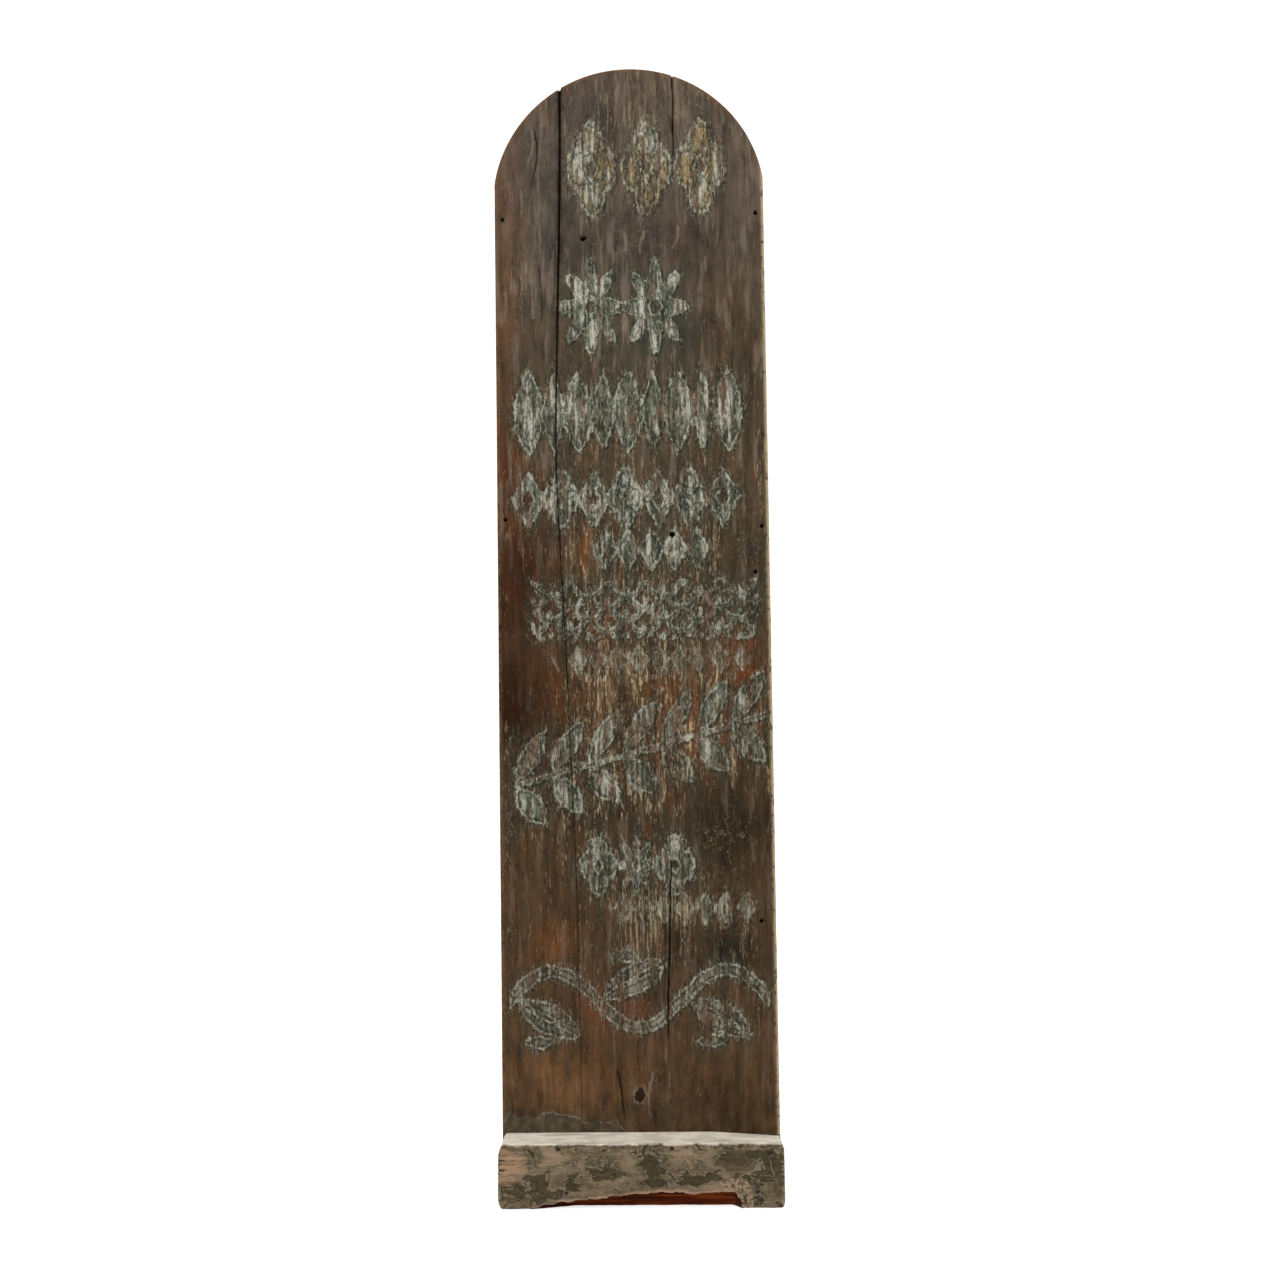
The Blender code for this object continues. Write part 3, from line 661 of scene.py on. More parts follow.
def row_of(x, z):
    """The level row that passes through a point once it has been lifted."""
    height = board_sizes()[1]
    fine = np.linspace(0.0, height, OUTLINE_STEPS)
    return float(np.interp(z, fine + (arch_height(x) - height) * row_lift(fine), fine))


def plank_lines(side):
    """Grid lines of a plank: x across at the foot, and z up its middle."""
    half_width, height, _, _, _ = board_sizes()
    seam = float(seam_edge(np.array([0.0]), side)[0])
    edge = side * half_width
    places = [(seam, 0.0020, 6), (edge, 0.0040, 7)]

    def column_of(x, z):
        """The straight column that passes through a point once it has been bent."""
        fine = np.linspace(-half_width, half_width, OUTLINE_STEPS)
        bent = fine + (seam_edge(np.array([z]), side)[0] - seam) * seam_follow(fine, seam)
        return float(np.interp(x, bent, fine))

    for hole in HOLES:
        places.append((column_of(hole[0], hole[1]), 1.3 * hole[2], 3))
    for top_x, top_z, foot_x, foot_z, _, _ in CHECKS:
        ends = column_of(top_x, top_z), column_of(foot_x, foot_z)
        places.append((sum(ends) / 2, 0.0018 + 0.6 * abs(ends[0] - ends[1]), 3.5))
    places.append((KNOTS[0][0], 0.010, 1))
    inside = [p for p in places if min(seam, edge) - MM < p[0] < max(seam, edge) + MM]
    columns = WIDE_PLANK_COLUMNS if side > 0 else NARROW_PLANK_COLUMNS
    across = graded(min(seam, edge), max(seam, edge), columns, inside)
    ups = [(0.0, 0.002, 5), (height, 0.004, 8)]
    for hole in HOLES:
        if min(seam, edge) < hole[0] < max(seam, edge):
            ups.append((row_of(hole[0], hole[1]), 1.2 * hole[2], 4))
    ups.append((KNOTS[0][1], 0.012, 1))
    return across, graded(0.0, height, PLANK_ROWS, ups), seam


def plank_grid(side):
    """Front outline grid of a plank as x and z.

    Columns near the seam follow it and the rest stand straight: x = X + (seam(z) - seam(0)) * fade(X).
    Rows are level low down and take the arch's shape at the top: z = Z + (arch(x) - height) * fade(Z).
    """
    _, height, _, _, _ = board_sizes()
    across, ups, seam = plank_lines(side)
    column, row = np.meshgrid(across, ups)
    follow = seam_follow(column, seam)
    x, z = column, row
    lift = row_lift(row)
    for _ in range(6):
        z = row + (arch_height(x) - height) * lift
        x = column + (seam_edge(z, side) - seam) * follow
    return x, row + (arch_height(x) - height) * lift


def plank_surface(name, side, seed, layout, material):
    """A plank from its grid: the front sheet stands back by its relief, the rim carries the tongue or
    groove on the seam side, and the back sheet is plainer."""
    _, _, half, _, _ = board_sizes()
    x, z = plank_grid(side)
    hole, _ = hole_relief(x, z)
    check, _ = check_relief(x, z)
    relief = np.maximum(arris_depth(x, z, side, seed), weathering(x, z, seed))
    relief = relief + np.maximum(hole, check) + knot_relief(x, z)
    front = np.stack((x, relief - half, z), axis=2)
    back_x, back_z = x[::2, ::2], z[::2, ::2]
    back_relief = weathering(back_x, back_z, seed + 9)
    back_relief = np.maximum(arris_depth(back_x, back_z, side, seed + 7), back_relief)
    back = np.stack((back_x, half - back_relief, back_z), axis=2)
    loop = border_of(*x.shape)
    start = front.reshape(-1, 3)[loop]
    end_y = half - arris_depth(start[:, 0], start[:, 2], side, seed + 7)
    rings = plank_rings(start, end_y, x.shape, side, seed)
    return closed_surface(name, front, rings, back, layout, board_values(side), material)


def plank_rings(start, end_y, shape, side, seed):
    """Loops across the thickness, from the front outline to the back.

    The long edge and the arch are pushed in by saw marks and dents. On the seam side the middle loops
    move out for the tongue, or in for the groove, which stop a little below the arch.
    """
    rows, columns = shape
    _, board_height, half, radius, centre = board_sizes()
    fit = TONGUE_FIT if side < 0 else 0.0
    front = TONGUE_FROM_FRONT - half - fit
    back = front + TONGUE_THICKNESS + 2 * fit
    step = 0.02 * MM
    middle = (front + back) / 2
    depths = (front - 2 * MM, front - step, front + step, middle, back - step, back + step, back + 7 * MM)
    moved = TONGUE_REACH if side > 0 else GROOVE_REACH
    number = np.arange(len(start))
    if side > 0:
        seam_side = number >= 2 * (columns - 1) + rows - 1
    else:
        seam_side = (number >= columns - 1) & (number <= columns - 1 + rows - 1)
    height = start[:, 2]
    spring = board_height - bpy.context.scene.sign_board.arch_rise
    chord = np.sqrt(np.maximum((radius - TONGUE_END) ** 2 - np.maximum(height - centre, 0.0) ** 2, 0.0))
    if side > 0:
        moved = np.clip(np.minimum(moved, chord + start[:, 0]), 0.0, None)
    low_enough = height < start[seam_side][:, 2].max() - (0.0 if side > 0 else GROOVE_STOP)
    seam_side &= low_enough & (height > 2 * MM)
    rings = []
    for i, y in enumerate(depths):
        ring = start.copy()
        ring[:, 1] = np.clip(y, start[:, 1] + 0.2 * MM, end_y - 0.2 * MM)
        if 2 <= i <= 4:
            ring[:, 0] -= np.where(seam_side, moved, 0.0)
        else:
            saw = 0.18 * MM * (1 + drift(ring[:, 2] + ring[:, 0], ring[:, 1], 0.004, 0.004, seed + i))
            saw = saw + 0.25 * MM * np.maximum(drift(ring[:, 2], ring[:, 0], 0.03, 0.03, seed + 20), 0)
            arched = ring[:, 2] > spring
            inward_x = np.where(arched, -ring[:, 0], -np.sign(ring[:, 0]))
            inward_z = np.where(arched, centre - ring[:, 2], 0.0)
            size = np.hypot(inward_x, inward_z)
            push = np.where(seam_side | (ring[:, 2] < MM), 0.0, saw)
            ring[:, 0] += push * inward_x / size
            ring[:, 2] += push * inward_z / size
        rings.append(ring)
    last = start.copy()
    last[:, 1] = end_y - 0.02 * MM
    rings.append(last)
    return np.array(rings)


# Single old marks: x and z of the top, x and z of the foot, bow to the right, strength, in millimetres
DARK_TRACES = (
    (-131, 1446, -134, 1368, 7, 1.0), (-150, 1256, -147, 1180, -2, 0.6), (-126, 1256, -122, 1170, 3, 0.7),
    (6, 152, 10, 98, 5, 0.7), (-170, 1240, -164, 1196, 0, 0.5), (-92, 860, -96, 700, -3, 0.5),
    (128, 1320, 118, 1262, 2, 0.6), (33, 420, 30, 230, 4, 0.5),
)
PALE_TRACES = (
    (-134, 1446, -140, 1392, 6, 0.6), (-138, 1250, -133, 1176, 2, 0.7), (-160, 1236, -158, 1190, 2, 0.5),
    (20, 166, 14, 96, -6, 0.8), (34, 196, 36, 120, 2, 0.7), (-112, 716, -102, 692, 0, 0.9),
    (24, 1300, 16, 1262, -4, 0.8), (-8, 1300, -6, 1266, 2, 0.7), (66, 1306, 58, 1270, 4, 0.7),
    (-26, 480, -16, 450, 3, 0.8), (110, 372, 122, 346, -8, 0.7),
)

# Where paint has gone from the figures, and where thin scratches cross bare wood: x, z, half width and
# half height in millimetres, share
PAINT_LOSSES = (
    (62, 570, 34, 60, 0.26), (-30, 1200, 26, 40, 0.12), (108, 1045, 54, 50, 0.19), (-148, 930, 34, 42, 0.17),
    (10, 705, 90, 40, 0.06), (-100, 300, 50, 60, 0.05), (70, 230, 40, 40, 0.08), (40, 1400, 30, 30, 0.06),
    (142, 770, 34, 40, 0.12), (150, 592, 30, 40, 0.11),
)
STREAKED = (
    (4, 358, 34, 48, 1.0), (60, 372, 26, 30, 0.7), (-12, 1470, 40, 46, 0.5), (-148, 1236, 26, 30, 0.45),
    (-152, 1118, 16, 20, 0.4), (16, 704, 60, 26, 0.45), (-118, 706, 14, 20, 0.35), (-30, 1176, 60, 50, 0.35),
    (-40, 246, 60, 50, 0.30), (120, 250, 50, 60, 0.30), (40, 1040, 110, 40, 0.30),
)
SCRATCHED = (
    (118, 468, 46, 44, 0.9), (-150, 1212, 26, 46, 0.7), (16, 1284, 60, 26, 0.6), (30, 690, 90, 40, 0.8),
    (-120, 742, 34, 24, 0.5), (110, 374, 50, 34, 0.7), (30, 1478, 70, 34, 0.6), (130, 700, 40, 60, 0.5),
    (20, 140, 26, 40, 0.5), (-60, 640, 70, 50, 0.5), (150, 860, 30, 50, 0.5),
)


def shares_at(x, z, patches):
    """Sum over patches of share * exp(-(across^2 + up^2))."""
    total = np.zeros_like(x)
    for across, up, wide, tall, share in patches:
        total = total + share * bell(x - across, wide) * bell(z - up, tall)
    return total


def trace_values(x, z, traces):
    """Distance across the nearest mark, left less than 0, and its strength, fading 7 mm to the sides."""
    across, strength = np.full_like(x, 20.0), np.zeros_like(x)
    for top_x, top_z, foot_x, foot_z, bow, share in traces:
        t = (z - foot_z) / (top_z - foot_z)
        off = x - foot_x - (top_x - foot_x) * t - 4 * bow * t * (1 - t)
        level = share * bell(off, 7.0) * np.clip(8 * np.minimum(t, 1 - t), 0.0, 1.0)
        across = np.where(level > strength, off, across)
        strength = np.maximum(strength, level)
    return across, strength


def wash_height(x, z):
    """Height above the edge of a grey film over the rail. It stands highest left of the middle."""
    edge = 82.0 + np.interp(x, [-200, -175, -104, -72, -32, -14], [0.0, 22.0, 24.0, 13.0, 12.0, -6.0])
    return z - edge - 3.2 * ripple(x, 17.0, 91) - 1.5 * ripple(x, 6.0, 92)


def board_values(side):
    """Attributes of a plank's points: painted figures, slow colours, wear at the edges, darkness."""

    def values(points, zone):
        x, _, z = points.T
        wide, tall = x / MM, z / MM
        nearest, solid, ochre, remains, ground = painted(wide, tall)
        cast = painted(wide - 3.0, tall + 2.5)[0]
        _, hole = hole_relief(x, z)
        _, check = check_relief(x, z)
        seam, long_edge, arch, _ = edge_distances(x, z, side)
        front = zone == 0
        dark_across, dark_strength = trace_values(wide, tall, DARK_TRACES)
        pale_across, pale_strength = trace_values(wide, tall, PALE_TRACES)
        # How far a point lies in a hole or a check: painted shade is laid there
        pit = np.where(front, np.maximum(hole, check), 0.0)
        knot = np.zeros_like(x)
        for knot_x, knot_z, radius in KNOTS:
            strength = 1.0 if radius > 5 * MM else 0.62
            away = np.hypot(x - knot_x, (z - knot_z) / 1.25)
            knot = np.maximum(knot, strength * bell(away, 1.5 * radius))
        fleck = np.interp(tall, [0, 120, 200, 420, 560, 680, 780, 980, 1110, 1240, 1400, 1524],
                          [0.05, 0.05, 0.28, 0.52, 0.84, 0.80, 0.66, 0.50, 0.38, 0.16, 0.24, 0.40])
        fleck = fleck * (0.75 if side < 0 else 1.0) * (1 - 0.8 * bell(wide + 155, 48) * bell(tall - 700, 150))
        fleck = fleck * (1 - 0.45 * bell(wide - 160, 44) * bell(tall - 760, 190))
        fleck = fleck * (1 - 0.75 * bell(wide - 125, 70) * bell(tall - 480, 70))
        fleck = fleck * (1 - 0.6 * bell(tall - 1290, 30))
        back_fleck = np.clip(0.40 + 0.34 * drift(x, z, 0.09, 0.26, 93), 0.05, 0.8)
        in_seam = (zone == 1) & (x * side < (seam_edge(z, side) + side * 0.5 * MM) * side)
        # Low down the seam is tight, and gets less of the painted shade in and beside its gap
        tight = np.interp(tall, [500, 900], [0.45, 1.0])
        return {
            "figure": np.where(front, np.clip(nearest, -FAR, FAR), FAR),
            "cast": np.where(front, np.clip(cast, -FAR, FAR), FAR),
            "solid": solid,
            "ochre": ochre,
            "remains": np.clip(remains - shares_at(wide, tall, PAINT_LOSSES), 0.0, 1.0),
            "scratched": np.where(front, shares_at(wide, tall, SCRATCHED), 0.0),
            "ground": np.where(front, ground, 0.0),
            "tint": np.where(
                (zone == 2)[:, None], patched(wide, tall, BOARD_GROUND, BACK_PATCHES),
                patched(wide, tall, BOARD_GROUND, BOARD_PATCHES),
            ),
            "fleck": np.where(zone == 2, back_fleck, fleck),
            "smear": np.interp(tall, [0, 200, 420, 760, 1000, 1524], [0.10, 0.22, 0.26, 0.28, 0.54, 0.60])
            * (1 - 0.9 * bell(wide + 160, 50) * bell(tall - 740, 130)),
            # The dark share is painted shade: near black laid in the holes, the checks and the seam's gap
            "dark": np.maximum(pit, np.where(in_seam, 0.8 * tight, 0.0)),
            # The seam share is painted shade beside the gap between the planks, wider on the narrow plank
            "seam": bell(seam, np.interp(tall, [500, 1250], [0.0009, 0.0046 if side < 0 else 0.0018]))
            * (zone < 2) * tight,
            "dark_across": dark_across,
            "dark_trace": np.where(front, dark_strength, 0.0),
            "pale_across": pale_across,
            "pale_trace": np.where(front, pale_strength, 0.0),
            "wash": np.where(front, np.clip(wash_height(wide, tall), -FAR, FAR), FAR),
            "streaks": np.where(front, shares_at(wide, tall, STREAKED), 0.0),
            "right_edge": np.where(side > 0, bell(long_edge, 0.0034), 0.0) * (zone < 2),
            "arch_edge": bell(arch, 0.0035),
            "left_edge": np.where(side < 0, bell(long_edge, 0.0040), 0.0),
            "rim": np.where((zone == 1) & ~in_seam, 1.0, 0.0),
            "knot": np.where(front, knot, 0.0),
        }

    return values


# Rails


def rail_outline_limits(across, ends, corners):
    """Limits at a place along a rail: each end's corner is a quarter of an ellipse."""
    near, far = corners
    low, high = ends
    at_low = np.clip(1 - (across - low) / near[0], 0.0, 1.0)
    at_high = np.clip(1 - (high - across) / far[0], 0.0, 1.0)
    return near[1] * (1 - np.sqrt(1 - at_low**2)) + far[1] * (1 - np.sqrt(1 - at_high**2))


def rail_grid(front_rail):
    """Grid of a rail's face as x and z, seen from the face.

    Four borders, each half way round the corners, are blended over the inside: the sum of the two
    blends of opposite borders less the blend of the four corners. Near the split's upper line the
    rows are moved to lie along it.
    """
    half = (RAIL_BOX[1].x - RAIL_BOX[0].x) / 2
    height = RAIL_BOX[1].z - RAIL_BOX[0].z
    lower_left, lower_right, upper_right, upper_left = RAIL_CORNERS
    cut = 1 - math.sqrt(0.5)
    lines_x = graded(0.0, 1.0, RAIL_COLUMNS, [(0.0, 0.010, 4), (1.0, 0.010, 4)])
    rows = [(0.0, 0.02, 5), (1.0, 0.02, 5), (0.594, 0.04, 1.5), (0.75, 0.04, 1.5)]
    if front_rail:
        rows.append((SPLIT_ROW / height, 0.016, 7))
    lines_z = graded(0.0, 1.0, RAIL_ROWS, rows)
    u, v = np.meshgrid(lines_x, lines_z)

    def along(share, near, far, low, high, upper):
        start = low + cut * near[0]
        end = high - cut * far[0]
        place = start + (end - start) * share
        rise = rail_outline_limits(place, (low, high), (near, far))
        return place, (height - rise if upper else rise)

    def upright(share, near, far, right):
        start = cut * near[1]
        end = height - cut * far[1]
        place = start + (end - start) * share
        swapped = ((near[1], near[0]), (far[1], far[0]))
        inset = rail_outline_limits(place, (0.0, height), swapped)
        return (half - inset if right else inset - half), place

    foot_x, foot_z = along(u, lower_left, lower_right, -half, half, False)
    top_x, top_z = along(u, upper_left, upper_right, -half, half, True)
    left_x, left_z = upright(v, lower_left, upper_left, False)
    right_x, right_z = upright(v, lower_right, upper_right, True)
    blended = []
    for foot, top, left, right in ((foot_x, top_x, left_x, right_x), (foot_z, top_z, left_z, right_z)):
        corners = (
            (1 - u) * (1 - v) * foot[0, 0] + u * (1 - v) * foot[0, -1]
            + (1 - u) * v * top[0, 0] + u * v * top[0, -1]
        )
        blended.append((1 - v) * foot + v * top + (1 - u) * left + u * right - corners)
    x, z = blended
    if front_rail:
        line = np.maximum(split_height(x), 0.004)
        share = eased(np.minimum(z / SPLIT_ROW, (SPLIT_BLEND_TOP - z) / (SPLIT_BLEND_TOP - SPLIT_ROW)))
        share = share * eased((x - SPLIT_LINE[0][0]) / 0.020) * eased((SPLIT_LINE[-1][0] - x) / 0.008)
        z = z + (line - SPLIT_ROW) * share
    return x, z


def split_height(x):
    """Height of the split's upper line over x, with splinters."""
    stops = np.array(SPLIT_LINE)
    line = np.interp(x, stops[:, 0], stops[:, 1])
    line = line + 0.6 * MM * ripple(x, 0.013, 60) * (line > 3 * MM)
    splinters = 0.9 * MM * ripple(x, 0.0045, 61) + 0.5 * MM * ripple(x, 0.0016, 62)
    return np.where(line > 0, np.maximum(line + splinters * (line > 2 * MM), 0.0), 0.0)


def split_over(x, z):
    """Height of the split's line over each point. At its steep right end x is moved to and fro by up
    to 1.6 mm as z goes up, which breaks the end into steps."""
    moved = 1.6 * MM * ripple(z, 0.0036, 65) * eased((x - 0.100) / 0.020)
    return split_height(x + moved)


def split_share(x, z):
    """1 inside the split and 0 outside, with a short slope at its line."""
    line = split_over(x, z)
    return eased((line - z) / (0.9 * MM) + 0.5) * (line > 0)


def crack_share(x, z):
    """End cracks: a wedge that is widest at the rail's left end. Gives depth and share."""
    depth, inside = np.zeros_like(x), np.zeros_like(x)
    for height, length, half, deep in END_CRACKS:
        along = (x - RAIL_BOX[0].x) / length
        width = half * np.clip(1 - along, 0.0, 1.0)
        middle = height + 0.6 * MM * ripple(x, 0.006, int(height * 1e4))
        share = eased((width - np.abs(z - middle)) / (0.6 * MM) + 0.5) * (along < 1)
        depth = np.maximum(depth, share * deep * np.clip(1.15 - along, 0.0, 1.0))
        inside = np.maximum(inside, share)
    return depth, inside


def nail_spots(facing):
    """Middles of the nail heads of a rail, from the nails of the frame: x and z of each."""
    name = "front_nail_%d" if facing < 0 else "back_nail_%d"
    boxes = [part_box(name % i) for i in range(1, 6)]
    return [((low.x + high.x) / 2, (low.z + high.z) / 2) for low, high in boxes]


def nail_relief(x, z, facing):
    """The dish over each nail's head, with a crushed rim round it."""
    depth, inside = np.zeros_like(x), np.zeros_like(x)
    wide, tall, deep = NAIL_DISH
    for nail_x, nail_z in nail_spots(facing):
        ragged = 0.25 * drift(x, z, 0.0016, 0.0016, 71)
        reach = np.hypot((x - nail_x) / wide, (z - nail_z) / tall) / MM + ragged
        share = eased((1.0 - reach) / 0.35 + 0.5)
        depth = np.maximum(depth, share * deep + 0.5 * MM * bell(reach, 2.2))
        inside = np.maximum(inside, share)
    return depth, inside


def slope_drop(x, y, front_rail):
    """Worn slope on top, at the right: a plane that falls towards the board and to the end."""
    if not front_rail:
        return 0 * x
    seat = RAIL_BOX[1].y
    run = (x - (RAIL_BOX[1].x - SLOPE_FROM_RIGHT)) / SLOPE_FROM_RIGHT
    lift = (SLOPE_DROP_AT_BOARD - SLOPE_DROP_AT_FACE) * (seat - y) / (RAIL_BOX[1].y - RAIL_BOX[0].y)
    return np.maximum(SLOPE_DROP_AT_BOARD * run - lift, 0.0)


def rail_surface(name, facing, seed, layout, material):
    """A rail from its grid. It is worked out as the front rail, and the back rail is turned round."""
    front_rail = facing < 0
    height = RAIL_BOX[1].z
    face, seat = RAIL_BOX[0].y, RAIL_BOX[1].y
    x, z = rail_grid(front_rail)
    half = RAIL_BOX[1].x
    edge = np.minimum(np.minimum(half - np.abs(x), z), height - z)
    uneven = 1 + 0.45 * ripple(x + z, 0.021, seed) + 0.30 * ripple(x + z, 0.007, seed + 1)
    relief = np.maximum(rounding(edge, RAIL_ARRIS * uneven), rail_weathering(x, z, seed))
    spots_x = x if front_rail else -x
    nail, _ = nail_relief(spots_x, z, facing)
    relief = relief + nail
    if front_rail:
        lean = SPLIT_DEPTH - (SPLIT_DEPTH - SPLIT_DEPTH_AT_TOP) * z / SPLIT_TOP
        lean = lean * np.clip((x - SPLIT_LINE[0][0] + 0.003) / 0.060, 0.0, 1.0)
        lean = lean * eased((SPLIT_LINE[-1][0] - x + 0.002) / 0.016)
        torn = 0.5 * MM * drift(x, z, 0.020, 0.0012, 63) + 0.4 * MM * drift(x, z, 0.007, 0.003, 64)
        share = split_share(x, z)
        relief = relief * (1 - share) + share * (lean + torn)
        crack, _ = crack_share(x, z)
        relief = relief + crack
    front = np.stack((x, face + relief, z), axis=2)
    back_x, back_z = x[::2, ::2], z[::2, ::2]
    back_y = seat - rounding(edge[::2, ::2], RAIL_BACK_ARRIS)
    back = np.stack((back_x, back_y, back_z), axis=2)
    loop = border_of(*x.shape)
    start = front.reshape(-1, 3)[loop]
    end_y = seat - rounding(edge.reshape(-1)[loop], RAIL_BACK_ARRIS)
    rings = []
    for share in (0.06, 0.14, 0.24, 0.34, 0.45, 0.56, 0.67, 0.78, 0.87, 0.94, 0.985):
        ring = start.copy()
        ring[:, 1] = start[:, 1] + (end_y - start[:, 1]) * share
        wear = 0.20 * MM * (1 + drift(ring[:, 0], ring[:, 1], 0.006, 0.003, seed + 30))
        wear = wear + 0.35 * MM * np.maximum(drift(ring[:, 0], ring[:, 1], 0.030, 0.009, seed + 31), 0)
        upper = ring[:, 2] > height / 2
        flat = np.abs(ring[:, 0]) < half - 9 * MM
        ring[:, 2] += np.where(flat, np.where(upper, -wear, 0.3 * wear), 0.0)
        ring[:, 0] -= np.where(flat, 0.0, np.sign(ring[:, 0]) * wear * 0.6)
        rings.append(ring)
    rings = np.array(rings)
    for part in (front, back, rings):
        fall = slope_drop(part[..., 0], part[..., 1], front_rail)
        part[..., 2] -= fall * eased((part[..., 2] - 0.045) / (height - 0.045))
    if not front_rail:
        for part in (front, back, rings):
            part[..., :2] *= -1
    return closed_surface(name, front, rings, back, layout, rail_values(front_rail), material)


def rail_weathering(x, z, seed):
    """Dents and long hollows of a rail's face, in metres."""
    lines = drift(x, z, 0.16, 0.0040, seed + 3)
    hollows = drift(x, z, 0.07, 0.020, seed + 4)
    dents = drift(x, z, 0.012, 0.008, seed + 5)
    return MM * (0.35 + 0.18 * lines + 0.22 * hollows + 0.16 * np.maximum(dents, 0))


# Slow colours of the rails and patches laid over them, as for the board
RAIL_GROUND = ((83, (146, 128, 102)), (60, (142, 124, 98)), (30, (132, 114, 90)), (0, (122, 104, 78)))
RAIL_PATCHES = (
    (-174, 50, 22, 34, (172, 136, 106), 0.9),
    (-120, 66, 40, 12, (166, 138, 112), 0.6),
    (-150, 18, 40, 14, (104, 90, 66), 0.6),
    (172, 45, 20, 40, (106, 98, 62), 0.85),
    (-60, 60, 60, 16, (150, 132, 106), 0.5),
    (60, 45, 70, 20, (128, 114, 90), 0.5),
)
# Old paint left on the rail: x, z, half width, half height in millimetres, more or less of it
RAIL_REMAINS = (
    (-140, 24, 54, 18, 0.17), (-60, 36, 34, 12, 0.07), (16, 40, 14, 26, 0.15), (80, 36, 14, 11, 0.18),
    (112, 60, 30, 16, 0.04), (162, 44, 30, 34, 0.14), (-178, 54, 18, 24, -0.28), (-130, 62, 60, 12, -0.10),
    (-30, 16, 60, 6, -0.14), (60, 24, 60, 6, -0.10), (124, 24, 24, 12, -0.14), (50, 62, 30, 8, -0.08),
)
# Smooth film on the rails, and crumbled wood by the split's right end: as above, with a share
RAIL_SMOOTH = ((123, 60, 27, 15, 1.0), (178, 28, 9, 22, 0.7))
RAIL_CRUMBS = ((138, 8, 9, 13, 1.1), (122, 31, 20, 8, 1.05), (-142, 22, 30, 9, 0.30))


def rail_values(front_rail):
    """Attributes of a rail's points: slow colours, old paint left, bare top, split and darkness."""

    def values(points, zone):
        x, y, z = points.T
        wide, tall = x / MM * (1 if front_rail else -1), z / MM
        height = RAIL_BOX[1].z
        face, seat = RAIL_BOX[0].y, RAIL_BOX[1].y
        half = RAIL_BOX[1].x
        front, rim = zone == 0, zone == 1
        drop = slope_drop(x, y, front_rail)
        on_top = rim & (z + drop > height - 11 * MM) & (np.abs(x) < half - 2.5 * MM)
        top_edge = np.where(front, z + drop - height, np.where(on_top, abs(face) - np.abs(y), -12 * MM)) / MM
        from_seat = np.abs(y) - abs(seat)
        paint = np.full_like(x, 0.490)
        for across, up, reach_x, reach_z, more in RAIL_REMAINS:
            paint = paint + more * bell(wide - across, reach_x) * bell(tall - up, reach_z)
        ends = 0.55 * bell(half - np.abs(x), 0.005)
        share = np.where(front, split_share(x, z), 0.0) if front_rail else 0 * x
        line = np.where(front, (z - split_over(x, z)) / MM, FAR) if front_rail else FAR + 0 * x
        crumbs = np.where(front & front_rail, shares_at(wide, tall, RAIL_CRUMBS), 0.0)
        crack = np.where(front, crack_share(x, z)[1], 0.0) if front_rail else 0 * x
        return {
            "tint": patched(wide, tall, RAIL_GROUND, RAIL_PATCHES),
            "old_paint": np.where(front, paint, 0.40),
            "top_edge": np.clip(top_edge, -12.0, 12.0),
            # Painted shade: a darker line along the back of the top, where the board stands on it
            "back_line": np.where(on_top, bell(from_seat, 0.0018), 0.0),
            "split": share,
            "split_line": np.where(split_height(x) > 0.5 * MM, line, FAR),
            "split_along": (wide + 140) / 270,
            "left_end": bell(wide + 185, 26.0),
            "scuffed": bell(wide - 165, 26.0) * bell(tall - 48, 24.0),
            # The dark share is painted shade inside the end cracks
            "dark": crack,
            "smooth": np.where(front, shares_at(wide, tall, RAIL_SMOOTH), 0.0),
            "crumbled": crumbs,
            "nail": np.where(front, nail_relief(x, z, -1 if front_rail else 1)[1], 0.0),
            "worn": ends,
            "under": np.where(rim & (z < 1.5 * MM), 1.0, 0.0),
            "end": rim * eased((np.minimum(height - drop - z, z) - (half - np.abs(x))) / (3 * MM) + 0.5),
        }

    return values


# Materials


